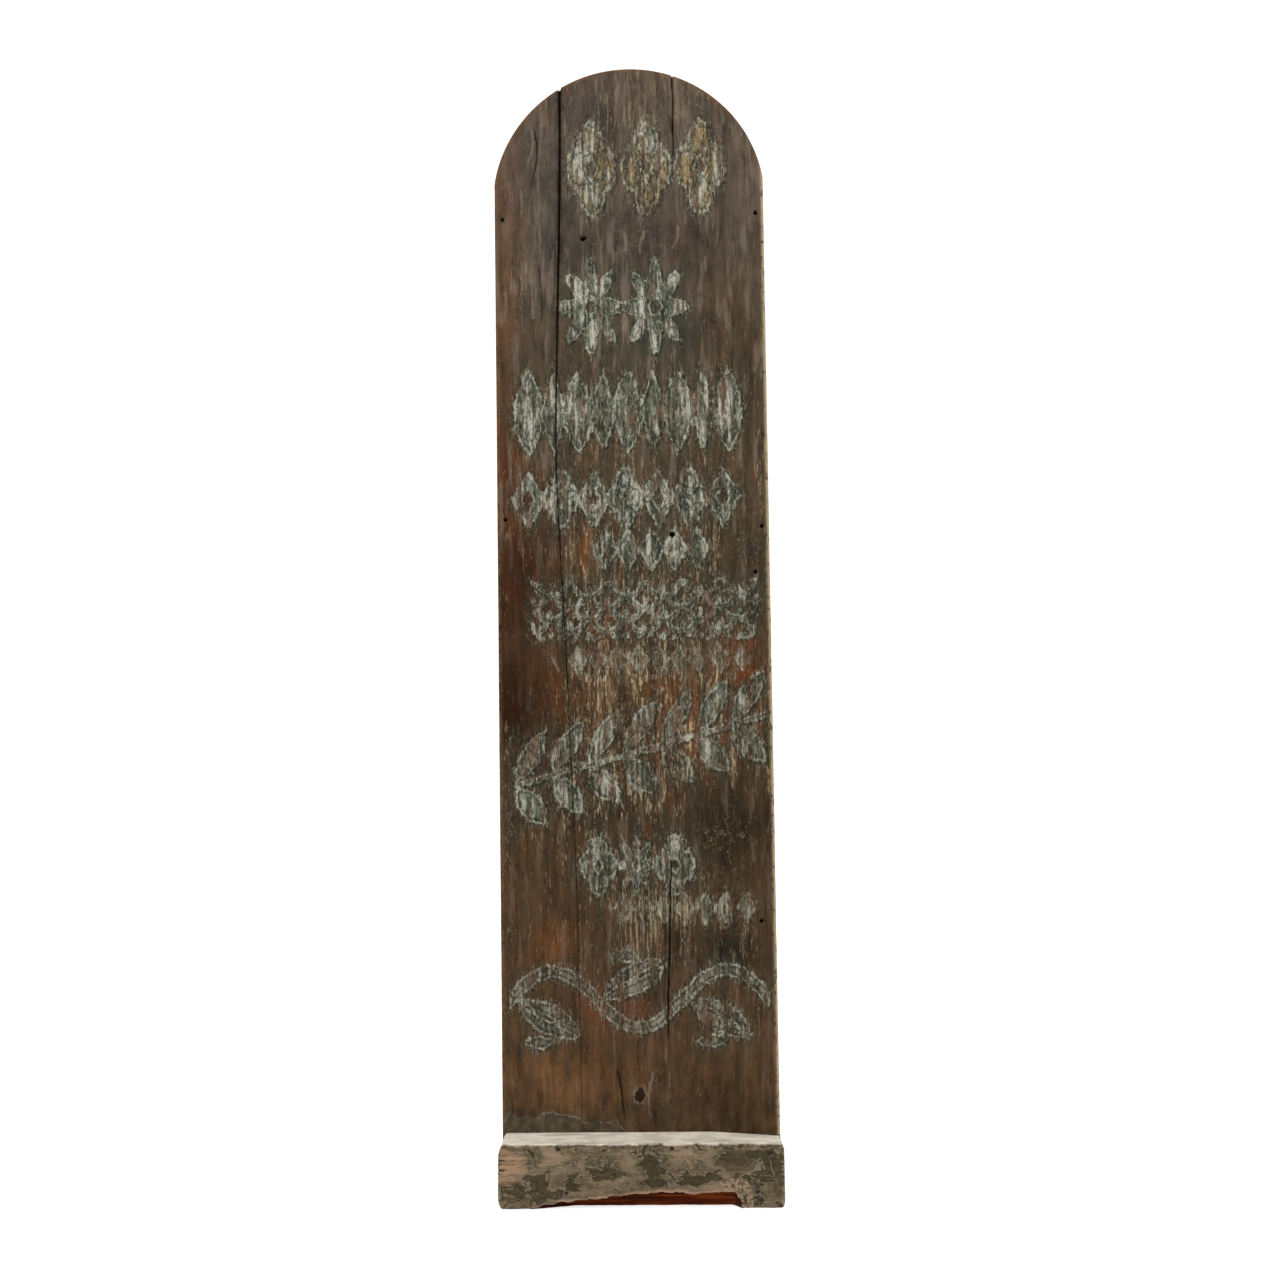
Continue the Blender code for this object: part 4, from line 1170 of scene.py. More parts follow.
class Finish:
    """One material, its nodes added and linked as they are named. The coat is its colour so far.

    A colour is a socket, a colour of the settings, or red, green and blue from 0 to 255.
    """

    def __init__(self, name):
        self.material = bpy.data.materials.new(name)
        self.material.use_nodes = True
        self.tree = self.material.node_tree
        self.shader = self.tree.nodes["Principled BSDF"]
        self.place = self.add("ShaderNodeTexCoord", output="Object")
        self.coat = None

    def put(self, socket, value):
        if isinstance(value, bpy.types.NodeSocket):
            self.tree.links.new(value, socket)
        elif socket.type == "RGBA" and len(value) == 3:
            socket.default_value = (*srgb(value), 1.0)
        else:
            socket.default_value = value

    def add(self, kind, inputs=(), output=0, **settings):
        node = self.tree.nodes.new(kind)
        for key, value in settings.items():
            setattr(node, key, value)
        for key, value in dict(inputs).items():
            self.put(node.inputs[key], value)
        return node.outputs[output]

    def value(self, name):
        return self.add("ShaderNodeAttribute", output="Fac", attribute_name=name)

    def colour(self, name):
        return self.add("ShaderNodeAttribute", output="Color", attribute_name=name)

    def sum(self, operation, first, second=0.0, third=0.0):
        inputs = {0: first, 1: second, 2: third}
        return self.add("ShaderNodeMath", inputs, operation=operation)

    def times(self, first, *factors):
        for factor in factors:
            first = self.sum("MULTIPLY", first, factor)
        return first

    def plus(self, first, second):
        return self.sum("ADD", first, second)

    def minus(self, first, second):
        return self.sum("SUBTRACT", first, second)

    def step(self, value, low, high, to_low=0.0, to_high=1.0):
        """Eases from to_low to to_high as the value goes from low to high."""
        inputs = {"Value": value, "From Min": low, "From Max": high, "To Min": to_low, "To Max": to_high}
        return self.add("ShaderNodeMapRange", inputs, interpolation_type="SMOOTHSTEP")

    def line(self, value, low, high, to_low=0.0, to_high=1.0):
        """Goes evenly from to_low to to_high as the value goes from low to high."""
        inputs = {"Value": value, "From Min": low, "From Max": high, "To Min": to_low, "To Max": to_high}
        return self.add("ShaderNodeMapRange", inputs)

    def mix(self, share, first, second, blend="MIX"):
        inputs = {0: share, 6: first, 7: second}
        return self.add("ShaderNodeMix", inputs, output=2, data_type="RGBA", blend_type=blend)

    def start_coat(self, tone, least):
        """Starts the coat: the slow colours times 1 plus the tone, but times no less than the least."""
        light = self.sum("MAXIMUM", self.plus(1.0, tone), least)
        shade = self.add("ShaderNodeCombineColor", {0: light, 1: light, 2: light})
        self.coat = self.mix(1.0, self.colour("tint"), shade, "MULTIPLY")

    def lay(self, share, colour, strength=None):
        """Lays a colour over the coat by a share, or by the share times a strength."""
        if strength is not None:
            share = self.times(share, strength)
        self.coat = self.mix(share, self.coat, colour)

    def vary(self, value, noise, reach):
        """The value, moved by -reach to reach as the noise goes from 0.3 to 0.7."""
        return self.plus(value, self.line(noise, 0.3, 0.7, -reach, reach))

    def blend(self, first, second, share):
        """The first times a share, plus the second times the rest."""
        return self.plus(self.times(first, share), self.times(second, 1 - share))

    def noise(self, across, deep, up, detail=3.0, roughness=0.55, shift=0.0, twist=0.0):
        """Noise whose cells are 1/across, 1/deep and 1/up metres in size, shifted and twisted."""
        inputs = {"Vector": self.place, "Scale": (across, deep, up), "Location": (shift, shift, shift)}
        vector = self.add("ShaderNodeMapping", inputs)
        settings = {"Vector": vector, "Scale": 1.0, "Detail": detail}
        settings.update({"Roughness": roughness, "Distortion": twist})
        return self.add("ShaderNodeTexNoise", settings, output="Fac")

    def thin(self, value, middle, half):
        """1 where the value lies within half of a middle value, fading to 0 at twice that."""
        off = self.sum("ABSOLUTE", self.minus(value, middle))
        return self.step(off, 2 * half, half)

    def finish(self, roughness, height, depth):
        settings = {"Strength": 1.0, "Distance": depth, "Height": height}
        bump = self.add("ShaderNodeBump", settings, output="Normal")
        self.put(self.shader.inputs["Base Color"], self.coat)
        self.put(self.shader.inputs["Roughness"], roughness)
        self.put(self.shader.inputs["Normal"], bump)
        return self.material


def chosen(name, share=1.0):
    """A colour of the settings, times a share, as a colour with alpha."""
    return (*(share * part for part in getattr(bpy.context.scene.sign_colours, name)), 1.0)


def painted_board():
    """Old dark paint worn to the grain, pale threads of bare wood, and what is left of the figures."""
    f = Finish("painted_board")
    broad = f.noise(110, 100, 7, 5.0, 0.68)
    fibre = f.noise(230, 190, 24, 4.0, 0.62, 3.0)
    bands = f.noise(38, 38, 2.4, 3.0, 0.5, 7.0)
    blotch = f.noise(48, 48, 24, 5.0, 0.64, 11.0)
    flecks = f.noise(230, 200, 46, 4.0, 0.62, 17.0)
    threads = f.noise(150, 110, 12, 4.0, 0.62, 23.0)
    chips = f.noise(260, 220, 110, 4.0, 0.68, 29.0, 0.5)
    losses = f.noise(210, 200, 15, 4.0, 0.64, 31.0)
    wobble = f.noise(200, 180, 130, 5.0, 0.62, 37.0)
    mottle = f.noise(310, 270, 150, 4.0, 0.70, 47.0)
    cluster = f.noise(66, 66, 11, 3.0, 0.6, 53.0)
    scuff = f.noise(165, 150, 40, 3.0, 0.6, 59.0, 0.5)
    density = f.value("fleck")
    figure = f.value("figure")
    ground = f.value("ground")
    remains = f.value("remains")

    tone = f.line(broad, 0.28, 0.72, -0.62, 0.62)
    fibre_tone = f.line(fibre, 0.28, 0.72, -0.56, 0.56)
    tone = f.plus(tone, f.times(fibre_tone, f.line(density, 0.15, 0.7, 0.25, 1.0)))
    tone = f.vary(tone, bands, 0.16)
    tone = f.times(tone, f.line(density, 0.0, 0.7, 0.40, 1.0))
    mottled = f.times(f.line(blotch, 0.3, 0.7, -0.55, 0.55), f.line(density, 0.1, 0.6, 1.0, 0.1))
    tone = f.plus(tone, mottled)
    f.start_coat(tone, 0.28)
    warm = f.step(f.noise(80, 80, 16, 5.0, 0.64, 41.0), 0.54, 0.68)
    f.lay(f.times(warm, 0.60, density), (120, 64, 26))

    smear = f.noise(110, 100, 15, 3.0, 0.58, 67.0)
    smear = f.step(f.vary(smear, cluster, 0.07), 0.54, 0.67)
    smeared = f.mix(f.line(density, 0.2, 0.8), (124, 109, 96), (152, 132, 106))
    f.lay(f.times(smear, f.value("smear")), smeared)
    dull = f.step(f.noise(60, 60, 12, 4.0, 0.62, 73.0), 0.53, 0.66)
    dull = f.times(dull, f.line(density, 0.0, 0.8, 0.35, 0.6))
    f.lay(dull, (62, 58, 44))

    near = f.step(f.vary(figure, cluster, 16.0), 22.0, 0.0)
    ground_left = f.step(f.blend(losses, chips, 0.5), 0.42, 0.56, 1.0, 0.05)
    film = f.times(near, ground, ground_left)
    f.lay(film, f.mix(f.step(mottle, 0.42, 0.60), chosen("ground_film", 0.34), chosen("ground_film")), 0.78)

    level = f.line(density, 0.0, 1.0, 0.68, 0.52)
    level = f.plus(level, f.line(cluster, 0.35, 0.65, 0.10, -0.06))
    fleck = f.step(f.minus(flecks, level), 0.0, 0.07)
    bright = f.mix(f.line(density, 0.3, 0.7), chosen("bare_grain", 0.43), chosen("bare_grain"))
    bare = f.mix(f.step(mottle, 0.40, 0.60), (112, 90, 62), bright)
    f.lay(f.times(fleck, f.line(density, 0.2, 0.7, 0.40, 0.85)), bare)
    thread = f.times(f.thin(threads, 0.5, 0.010), f.step(f.minus(chips, level), -0.10, 0.0))
    f.lay(f.times(thread, f.line(density, 0.15, 0.6, 0.15, 0.75)), (178, 160, 128))
    tick = f.times(f.thin(threads, 0.44, 0.009), f.step(chips, 0.44, 0.54))
    f.lay(f.times(tick, 0.80, f.plus(0.3, density)), (30, 24, 16))

    sway = f.vary(f.line(wobble, 0.3, 0.7, -2.4, 2.4), chips, 1.2)
    distance = f.plus(figure, sway)
    cast = f.plus(f.value("cast"), sway)
    cover = f.blend(chips, losses, 0.42)
    cover = f.vary(cover, cluster, 0.11)
    kept = f.step(f.minus(cover, f.line(remains, 0.0, 1.0, 0.62, 0.36)), -0.03, 0.04)
    inside = f.step(distance, 0.8, -0.8)
    body = f.times(inside, kept, f.value("solid"))
    long_smear = f.noise(125, 115, 18, 3.0, 0.55, 97.0)
    tones = f.plus(f.times(losses, 0.26), f.plus(f.times(mottle, 0.18), f.times(long_smear, 0.56)))
    tones = f.vary(tones, blotch, 0.07)
    pale = f.mix(f.step(tones, 0.40, 0.50), chosen("paint_dark"), chosen("paint_middle"))
    pale = f.mix(f.step(tones, 0.49, 0.60), pale, chosen("paint_light"))
    tan = f.mix(f.step(tones, 0.42, 0.60), chosen("ochre", 0.42), chosen("ochre"))
    hue = f.times(f.value("ochre"), f.step(blotch, 0.58, 0.44))
    lost = f.times(inside, f.minus(1.0, kept), f.step(blotch, 0.44, 0.58))
    f.lay(lost, (126, 99, 80), 0.65)
    f.lay(body, f.mix(hue, pale, tan), 0.86)
    dash = f.times(f.step(f.noise(300, 260, 70, 3.0, 0.6, 71.0), 0.42, 0.35), f.step(distance, 12.0, 0.0))
    f.lay(dash, (32, 30, 23), 0.55)

    drop = f.times(f.step(cast, 1.5, -0.5), f.step(distance, -0.5, 1.5))
    drop = f.times(drop, f.step(chips, 0.40, 0.52))
    f.lay(f.times(drop, f.times(ground, 0.80)), (36, 42, 34))
    present = f.step(f.blend(losses, cluster, 0.5), 0.43, 0.52)
    present = f.times(present, f.line(remains, 0.3, 0.6, 0.45, 1.0))
    inner = f.times(f.thin(distance, -4.6, 0.8), present, f.step(remains, 0.50, 0.56))
    f.lay(inner, (38, 44, 36), 0.70)
    outline = f.times(f.thin(distance, -1.2, 0.7), present)
    edge_colour = f.mix(f.step(mottle, 0.42, 0.58), (112, 118, 102), (192, 192, 172))
    f.lay(f.times(outline, f.step(losses, 0.38, 0.54, 0.15, 0.75)), edge_colour)
    close = f.times(f.step(distance, 9.0, 1.0), f.line(remains, 0.3, 0.6, 0.5, 1.0))
    hairline = f.times(f.thin(scuff, 0.52, 0.006), close, f.step(mottle, 0.40, 0.52))
    f.lay(hairline, (176, 174, 154), 0.60)
    curl = f.noise(90, 90, 70, 3.0, 0.6, 83.0, 0.8)
    ghost = f.times(f.thin(curl, 0.55, 0.008), f.value("scratched"), f.step(chips, 0.42, 0.54))
    f.lay(ghost, (150, 142, 114), 0.75)
    scratch = f.times(f.thin(scuff, 0.46, 0.008), close)
    f.lay(scratch, (34, 38, 30), 0.60)
    speck = f.times(f.step(mottle, 0.60, 0.67), f.step(distance, 8.0, 0.0))
    f.lay(speck, (194, 190, 170), 0.60)
    pit = f.times(f.step(mottle, 0.40, 0.34), f.step(distance, 8.0, 0.0))
    f.lay(pit, (32, 34, 26), 0.60)

    rim = f.step(f.value("rim"), 0.02, 0.20)
    growth = f.noise(12, 420, 7, 5.0, 0.64, 101.0)
    weather = f.noise(40, 130, 8, 4.0, 0.62, 103.0)
    lines = f.plus(wobble, f.times(rim, f.minus(f.blend(growth, weather, 0.6), wobble)))
    arch_edge = f.times(f.value("arch_edge"), f.step(lines, 0.38, 0.56))
    f.lay(arch_edge, f.mix(rim, (128, 84, 40), (104, 80, 56)), 0.75)
    left_edge = f.times(f.value("left_edge"), f.step(lines, 0.42, 0.56))
    f.lay(left_edge, f.mix(rim, (128, 96, 66), (118, 98, 76)), 0.6)
    right_edge = f.times(f.value("right_edge"), f.step(lines, 0.34, 0.48))
    weathered = f.times(rim, f.step(lines, 0.58, 0.46, 0.10, 0.85))
    f.lay(right_edge, f.mix(weathered, (214, 192, 150), (146, 122, 92)))
    crack = f.times(f.thin(growth, 0.43, 0.010), f.step(weather, 0.46, 0.56), rim)
    f.lay(crack, (48, 36, 26), 0.75)
    fine_lines = f.noise(270, 220, 15, 5.0, 0.7, 61.0)
    pale_streak = f.step(f.plus(fine_lines, f.times(f.value("streaks"), 0.10)), 0.585, 0.625)
    pale_streak = f.times(pale_streak, f.step(f.value("streaks"), 0.05, 0.5))
    pale_streak = f.times(pale_streak, f.step(mottle, 0.34, 0.50))
    f.lay(pale_streak, (178, 160, 128), 0.52)
    lapping = f.noise(120, 110, 100, 3.0, 0.6, 89.0)
    wash = f.vary(f.value("wash"), lapping, 4.0)
    washed = f.times(f.step(wash, 1.5, -1.5), f.step(lapping, 0.36, 0.56, 0.85, 0.50))
    wash_tone = f.mix(f.step(lapping, 0.38, 0.66), (64, 63, 50), (108, 99, 82))
    f.lay(washed, wash_tone)
    wash_edge = f.times(f.thin(wash, 0.2, 0.9), f.step(blotch, 0.42, 0.54))
    f.lay(wash_edge, (134, 125, 106), 0.60)
    across = f.plus(f.value("dark_across"), f.times(sway, 0.5))
    mark = f.times(f.thin(across, 0.0, 0.9), f.value("dark_trace"))
    f.lay(mark, (30, 26, 20), 0.80)
    across = f.plus(f.value("pale_across"), f.times(sway, 0.6))
    mark = f.times(f.thin(across, 0.0, 1.4), f.value("pale_trace"))
    f.lay(f.times(mark, f.step(losses, 0.38, 0.52)), (138, 122, 104), 0.75)
    # Painted shade along the seam between the planks, broken by noise
    seam_shade = f.times(f.value("seam"), f.step(f.blend(wobble, losses, 0.5), 0.42, 0.58, 0.0, 0.85))
    f.lay(seam_shade, (36, 25, 17))
    knot = f.vary(f.value("knot"), wobble, 0.20)
    knot = f.vary(knot, mottle, 0.10)
    ring = f.times(f.thin(knot, 0.44, 0.07), f.step(f.blend(blotch, chips, 0.5), 0.44, 0.54))
    f.lay(ring, (138, 122, 94), 0.80)
    f.lay(f.step(knot, 0.54, 0.72), (34, 23, 14), 0.92)
    # Painted shade: near black inside the holes, the checks and the seam's gap
    f.lay(f.value("dark"), (16, 10, 7))

    rough = f.line(blotch, 0.3, 0.7, 0.62, 0.84)
    height = f.plus(f.times(fibre, 0.55), f.times(f.plus(body, outline), 0.22))
    height = f.plus(height, f.times(f.plus(fleck, thread), 0.15))
    height = f.minus(height, f.times(tick, 0.30))
    f.shader.inputs["Specular IOR Level"].default_value = 0.08
    return f.finish(rough, height, 0.0008)


def weathered_rail():
    """Bare wood under a thin worn film and patches of dark paint, a pale top, and a red-brown split."""
    f = Finish("weathered_rail")
    fine = f.noise(24, 420, 620, 5.0, 0.66)
    middle = f.noise(8, 130, 125, 4.0, 0.6, 3.0)
    cloud = f.noise(26, 60, 60, 4.0, 0.6, 5.0)
    patch = f.noise(30, 54, 50, 5.0, 0.60, 7.0, 0.7)
    chips = f.noise(190, 240, 240, 5.0, 0.70, 13.0)
    mottle = f.noise(420, 420, 420, 4.0, 0.7, 17.0)
    torn = f.noise(12, 260, 300, 5.0, 0.66, 19.0)
    scuff = f.noise(36, 36, 36, 2.0, 0.5, 23.0, 0.7)
    left_end = f.value("left_end")

    grain = f.vary(f.line(fine, 0.3, 0.7, -0.30, 0.30), middle, 0.30)
    grain = f.times(grain, f.line(left_end, 0.0, 1.0, 0.75, 1.15))
    grain = f.vary(grain, cloud, 0.20)
    f.start_coat(grain, 0.35)
    pink = f.step(f.blend(cloud, mottle, 0.6), 0.48, 0.60)
    f.lay(pink, (164, 141, 114), 0.40)

    cover = f.blend(patch, chips, 0.88)
    spare = f.minus(f.value("old_paint"), cover)
    film = f.step(spare, -0.090, -0.010)
    smoky = f.blend(cloud, middle, 0.5)
    thin_film = f.mix(f.step(smoky, 0.42, 0.58), (84, 76, 57), (124, 108, 85))
    f.lay(film, thin_film, 0.85)
    dark = f.step(spare, 0.046, 0.066)
    olive = f.mix(f.step(chips, 0.42, 0.60), chosen("rail_paint", 0.50), chosen("rail_paint"))
    f.lay(dark, olive, 0.80)
    rim = f.times(f.thin(spare, 0.036, 0.008), f.step(chips, 0.42, 0.54))
    f.lay(rim, (166, 152, 126), 0.60)
    vein = f.times(f.thin(spare, -0.045, 0.007), f.step(chips, 0.50, 0.60))
    f.lay(vein, (176, 156, 130), 0.50)
    speck = f.step(mottle, 0.60, 0.68)
    f.lay(f.times(speck, film), (160, 146, 120), 0.35)
    pit = f.step(f.blend(mottle, chips, 0.4), 0.430, 0.385)
    f.lay(pit, (44, 35, 24), 0.80)
    smooth = f.step(f.vary(f.value("smooth"), patch, 0.30), 0.40, 0.60)
    smooth_film = f.mix(f.step(cloud, 0.40, 0.60), (80, 68, 49), (97, 83, 63))
    f.lay(smooth, smooth_film, 0.80)
    hairline = f.times(f.thin(scuff, 0.50, 0.006), f.value("scuffed"))
    f.lay(hairline, (162, 152, 124), 0.70)
    split_grain = f.times(f.thin(middle, 0.44, 0.012), left_end)
    f.lay(split_grain, (50, 32, 20), 0.85)

    arris = f.vary(f.value("top_edge"), patch, 1.8)
    arris = f.vary(arris, chips, 0.8)
    # The top is bleached wood, and its colour is paler still as painted light from above
    pale = f.mix(f.step(cloud, 0.40, 0.60), chosen("rail_top_bleach_and_light", 0.78), chosen("rail_top_bleach_and_light"))
    pale = f.mix(f.times(f.step(middle, 0.44, 0.36), 0.5), pale, (176, 158, 136))
    pale = f.mix(f.times(f.step(chips, 0.36, 0.30), 0.6), pale, (150, 132, 110))
    pale = f.mix(f.times(f.step(fine, 0.47, 0.36), 0.38), pale, (146, 130, 110))
    f.lay(f.step(arris, -3.2, 0.6), pale)
    notch = f.times(f.thin(arris, -4.0, 0.9), f.step(chips, 0.52, 0.44))
    f.lay(notch, (76, 60, 46), 0.55)
    # Painted shade in the corner where the board stands on the rail's top
    f.lay(f.value("back_line"), (110, 96, 78), 0.6)
    worn = f.vary(f.value("worn"), chips, 0.45)
    f.lay(f.step(worn, 0.40, 0.62, 0.0, 0.70), (176, 158, 130))

    settings = {"Vector": f.place, "Scale": (0.0, 1.0, 1.0), "Location": (0.0, 0.0, 0.030)}
    below = f.add("ShaderNodeMapping", settings)
    radius = f.add("ShaderNodeVectorMath", {0: below}, output="Value", operation="LENGTH")
    year = f.sum("SINE", f.vary(f.times(radius, 1500.0), cloud, 2.2))
    end_grain = f.mix(f.step(year, -0.2, 0.9, 0.0, 0.75), (150, 132, 106), (104, 86, 64))
    end_grain = f.mix(f.times(f.step(patch, 0.54, 0.66), 0.35), end_grain, (92, 82, 62))
    end_check = f.times(f.thin(f.noise(20, 240, 34, 3.0, 0.6, 29.0), 0.47, 0.008), f.step(chips, 0.42, 0.54))
    end_grain = f.mix(f.times(end_check, 0.8), end_grain, (52, 40, 28))
    f.lay(f.value("end"), end_grain, 0.85)

    along = f.value("split_along")
    streak = f.plus(torn, f.line(along, 0.0, 0.8, -0.11, 0.03))
    # The split's dark tones are partly the wood's own red-brown and partly painted shade in the recess under
    # its lip
    red = f.mix(f.step(streak, 0.36, 0.50), (40, 11, 4), (86, 29, 4))
    red = f.mix(f.step(streak, 0.52, 0.64), red, chosen("fresh_wood"))
    red = f.mix(f.step(along, 0.95, 1.00), red, (44, 18, 9))
    f.lay(f.value("split"), red)
    # Painted highlight: a pale lip along the split's upper line, its broken edge as if catching the light
    split_lip_highlight = f.vary(f.value("split_line"), chips, 1.8)
    split_lip_highlight = f.times(f.thin(split_lip_highlight, 1.6, 1.2), f.step(cloud, 0.40, 0.56, 0.35, 0.80))
    f.lay(split_lip_highlight, (184, 150, 128))
    crumbled = f.step(f.vary(f.value("crumbled"), chips, 0.45), 0.40, 0.62)
    grit = f.noise(190, 190, 210, 6.0, 0.76, 31.0)
    crumb = f.mix(f.step(grit, 0.43, 0.53), (54, 40, 22), (178, 153, 124))
    f.lay(crumbled, crumb, 0.85)
    f.lay(f.value("nail"), (36, 26, 19), 0.8)
    # Painted shade: near black inside the end cracks
    f.lay(f.value("dark"), (22, 15, 10))
    f.lay(f.value("under"), (110, 100, 86), 0.4)
    rough = f.line(patch, 0.3, 0.7, 0.70, 0.90)
    height = f.plus(f.times(fine, 0.35), f.plus(f.times(film, 0.10), f.times(dark, 0.28)))
    height = f.minus(height, f.times(pit, 0.4))
    f.shader.inputs["Specular IOR Level"].default_value = 0.10
    return f.finish(rough, height, 0.0011)


def rusted_iron():
    """Nail iron: dark brown rust with orange bloom."""
    f = Finish("rusted_iron")
    bloom = f.noise(900, 900, 900, 5.0, 0.65)
    scale = f.noise(350, 350, 350, 4.0, 0.6, 5.0)
    f.coat = f.mix(f.step(bloom, 0.42, 0.62), (30, 21, 17), chosen("rust"))
    f.lay(f.step(scale, 0.55, 0.66), (19, 15, 13))
    f.shader.inputs["Metallic"].default_value = 0.25
    rough = f.line(scale, 0.3, 0.7, 0.68, 0.9)
    return f.finish(rough, bloom, 0.0004)


def rays_seen(tree):
    """1 for a camera, glossy or transmission ray and 0 for the rest, as a socket of the tree."""
    path = tree.nodes.new("ShaderNodeLightPath")
    total = path.outputs["Is Camera Ray"]
    for kind in ("Is Glossy Ray", "Is Transmission Ray"):
        add = tree.nodes.new("ShaderNodeMath")
        tree.links.new(total, add.inputs[0])
        tree.links.new(path.outputs[kind], add.inputs[1])
        total = add.outputs[0]
    return total


def studio_white(name, glow):
    """A pale diffuse surface that keeps the object's shadow, with a glow where the camera, a reflection
    or glass sees it."""
    f = Finish(name)
    strength = f.times(rays_seen(f.tree), glow)
    f.put(f.shader.inputs["Emission Strength"], strength)
    f.shader.inputs["Emission Color"].default_value = (1.0, 1.0, 1.0, 1.0)
    f.shader.inputs["Base Color"].default_value = (0.80, 0.80, 0.80, 1.0)
    f.shader.inputs["Roughness"].default_value = 1.0
    f.shader.inputs["Specular IOR Level"].default_value = 0.0
    return f.material


# Map patches (left, low, right, high) of the surfaces; a rim side also says if it runs upright

PLANK_LAYOUT = {
    "front": (0.004, 0.004, 0.640, 0.996),
    "back": (0.650, 0.004, 0.840, 0.996),
    "foot": ((0.950, 0.004, 0.996, 0.250), True),
    "right": ((0.850, 0.004, 0.895, 0.996), True),
    "top": ((0.950, 0.260, 0.996, 0.996), True),
    "left": ((0.902, 0.004, 0.943, 0.996), True),
}
RAIL_LAYOUT = {
    "front": (0.004, 0.004, 0.996, 0.420),
    "back": (0.004, 0.760, 0.996, 0.880),
    "foot": ((0.004, 0.430, 0.996, 0.510), False),
    "right": ((0.004, 0.890, 0.490, 0.996), False),
    "top": ((0.004, 0.520, 0.996, 0.750), False),
    "left": ((0.510, 0.890, 0.996, 0.996), False),
}


# Settings


def length(name, description, default, low):
    """A size property in metres."""
    return bpy.props.FloatProperty(
        name=name, description=description, unit="LENGTH", default=default, min=low,
    )


class SignBoardSettings(bpy.types.PropertyGroup):
    """Sizes of the board."""

    width: length("Width", "Width of the board over both planks", 2 * BOARD_BOX[1].x, 0.05)
    height: length("Height", "Height of the board from the floor to the top of the arch", BOARD_BOX[1].z, 0.2)
    thickness: length("Thickness", "Thickness of the planks", 2 * BOARD_BOX[1].y, 0.005)
    arch_rise: length("Arch Rise", "Height of the arch over the ends of the straight sides", 0.157, 0.01)
    worn_arris: length("Worn Edge", "Rounding of the long right-hand edge", 0.0050, 0.0005)
    crisp_arris: length("Crisp Edge", "Rounding of the arch and of the left edge", 0.0018, 0.0003)
    seam_arris: length("Seam Edge", "Rounding along the seam", 0.0007, 0.0002)
    foot_arris: length("Foot Edge", "Rounding along the foot", 0.0008, 0.0002)


def tone(name, description, colour):
    """A colour property whose default is given as 0 to 255 values."""
    linear = tuple(float(part) for part in srgb(colour))
    return bpy.props.FloatVectorProperty(
        name=name, description=description, subtype="COLOR", size=3, min=0.0, max=1.0, default=linear,
    )


class ColourSettings(bpy.types.PropertyGroup):
    """Colours of the paints, the bare woods and the rust."""

    paint_light: tone("Light Paint", "Brightest grey-green paint left on the figures", (206, 204, 186))
    paint_middle: tone("Middle Paint", "Middle grey-green of the figures", (110, 114, 98))
    paint_dark: tone("Dark Paint", "Darkest grey-green of the figures", (54, 62, 52))
    ochre: tone("Ochre", "Yellow paint of the uppermost figures", (190, 162, 112))
    ground_film: tone("Ground Film", "Dirty film left round the figures", (78, 78, 62))
    bare_grain: tone("Bare Grain", "Threads of bare wood where the old paint has gone", (196, 176, 142))
    rail_paint: tone("Rail Paint", "Old paint left on the foot rails", (76, 68, 48))
    # Partly painted light: paler than the bleached wood itself, as if lit from above
    rail_top_bleach_and_light: tone("Rail Top", "Bleached wood on top of the foot rails", (250, 240, 222))
    fresh_wood: tone("Fresh Wood", "Wood laid bare where a strip split off the front rail", (126, 60, 12))
    rust: tone("Rust", "Bloom of rust on the nails", (62, 38, 27))


def lamp_power(name, description, default):
    """A property for the power of a lamp in watts."""
    return bpy.props.FloatProperty(name=name, description=description, unit="POWER", default=default, min=0.0)


class StudioSettings(bpy.types.PropertyGroup):
    """Camera and light."""

    focal_length: bpy.props.FloatProperty(
        name="Focal Length", description="Lens of the camera, in millimetres", unit="CAMERA",
        default=34.82, min=10.0,
    )
    key_power: lamp_power("Key Lamp", "Power of the large lamp in front and above", 36.5)
    top_power: lamp_power("Top Lamp", "Power of the lamp overhead", 23.0)
    back_power: lamp_power("Back Lamp", "Power of the lamp behind the board", 24.0)
    sky_strength: bpy.props.FloatProperty(
        name="Sky", description="Strength of the even light from all round", subtype="FACTOR",
        default=0.585, min=0.0, max=1.0,
    )


# Operators


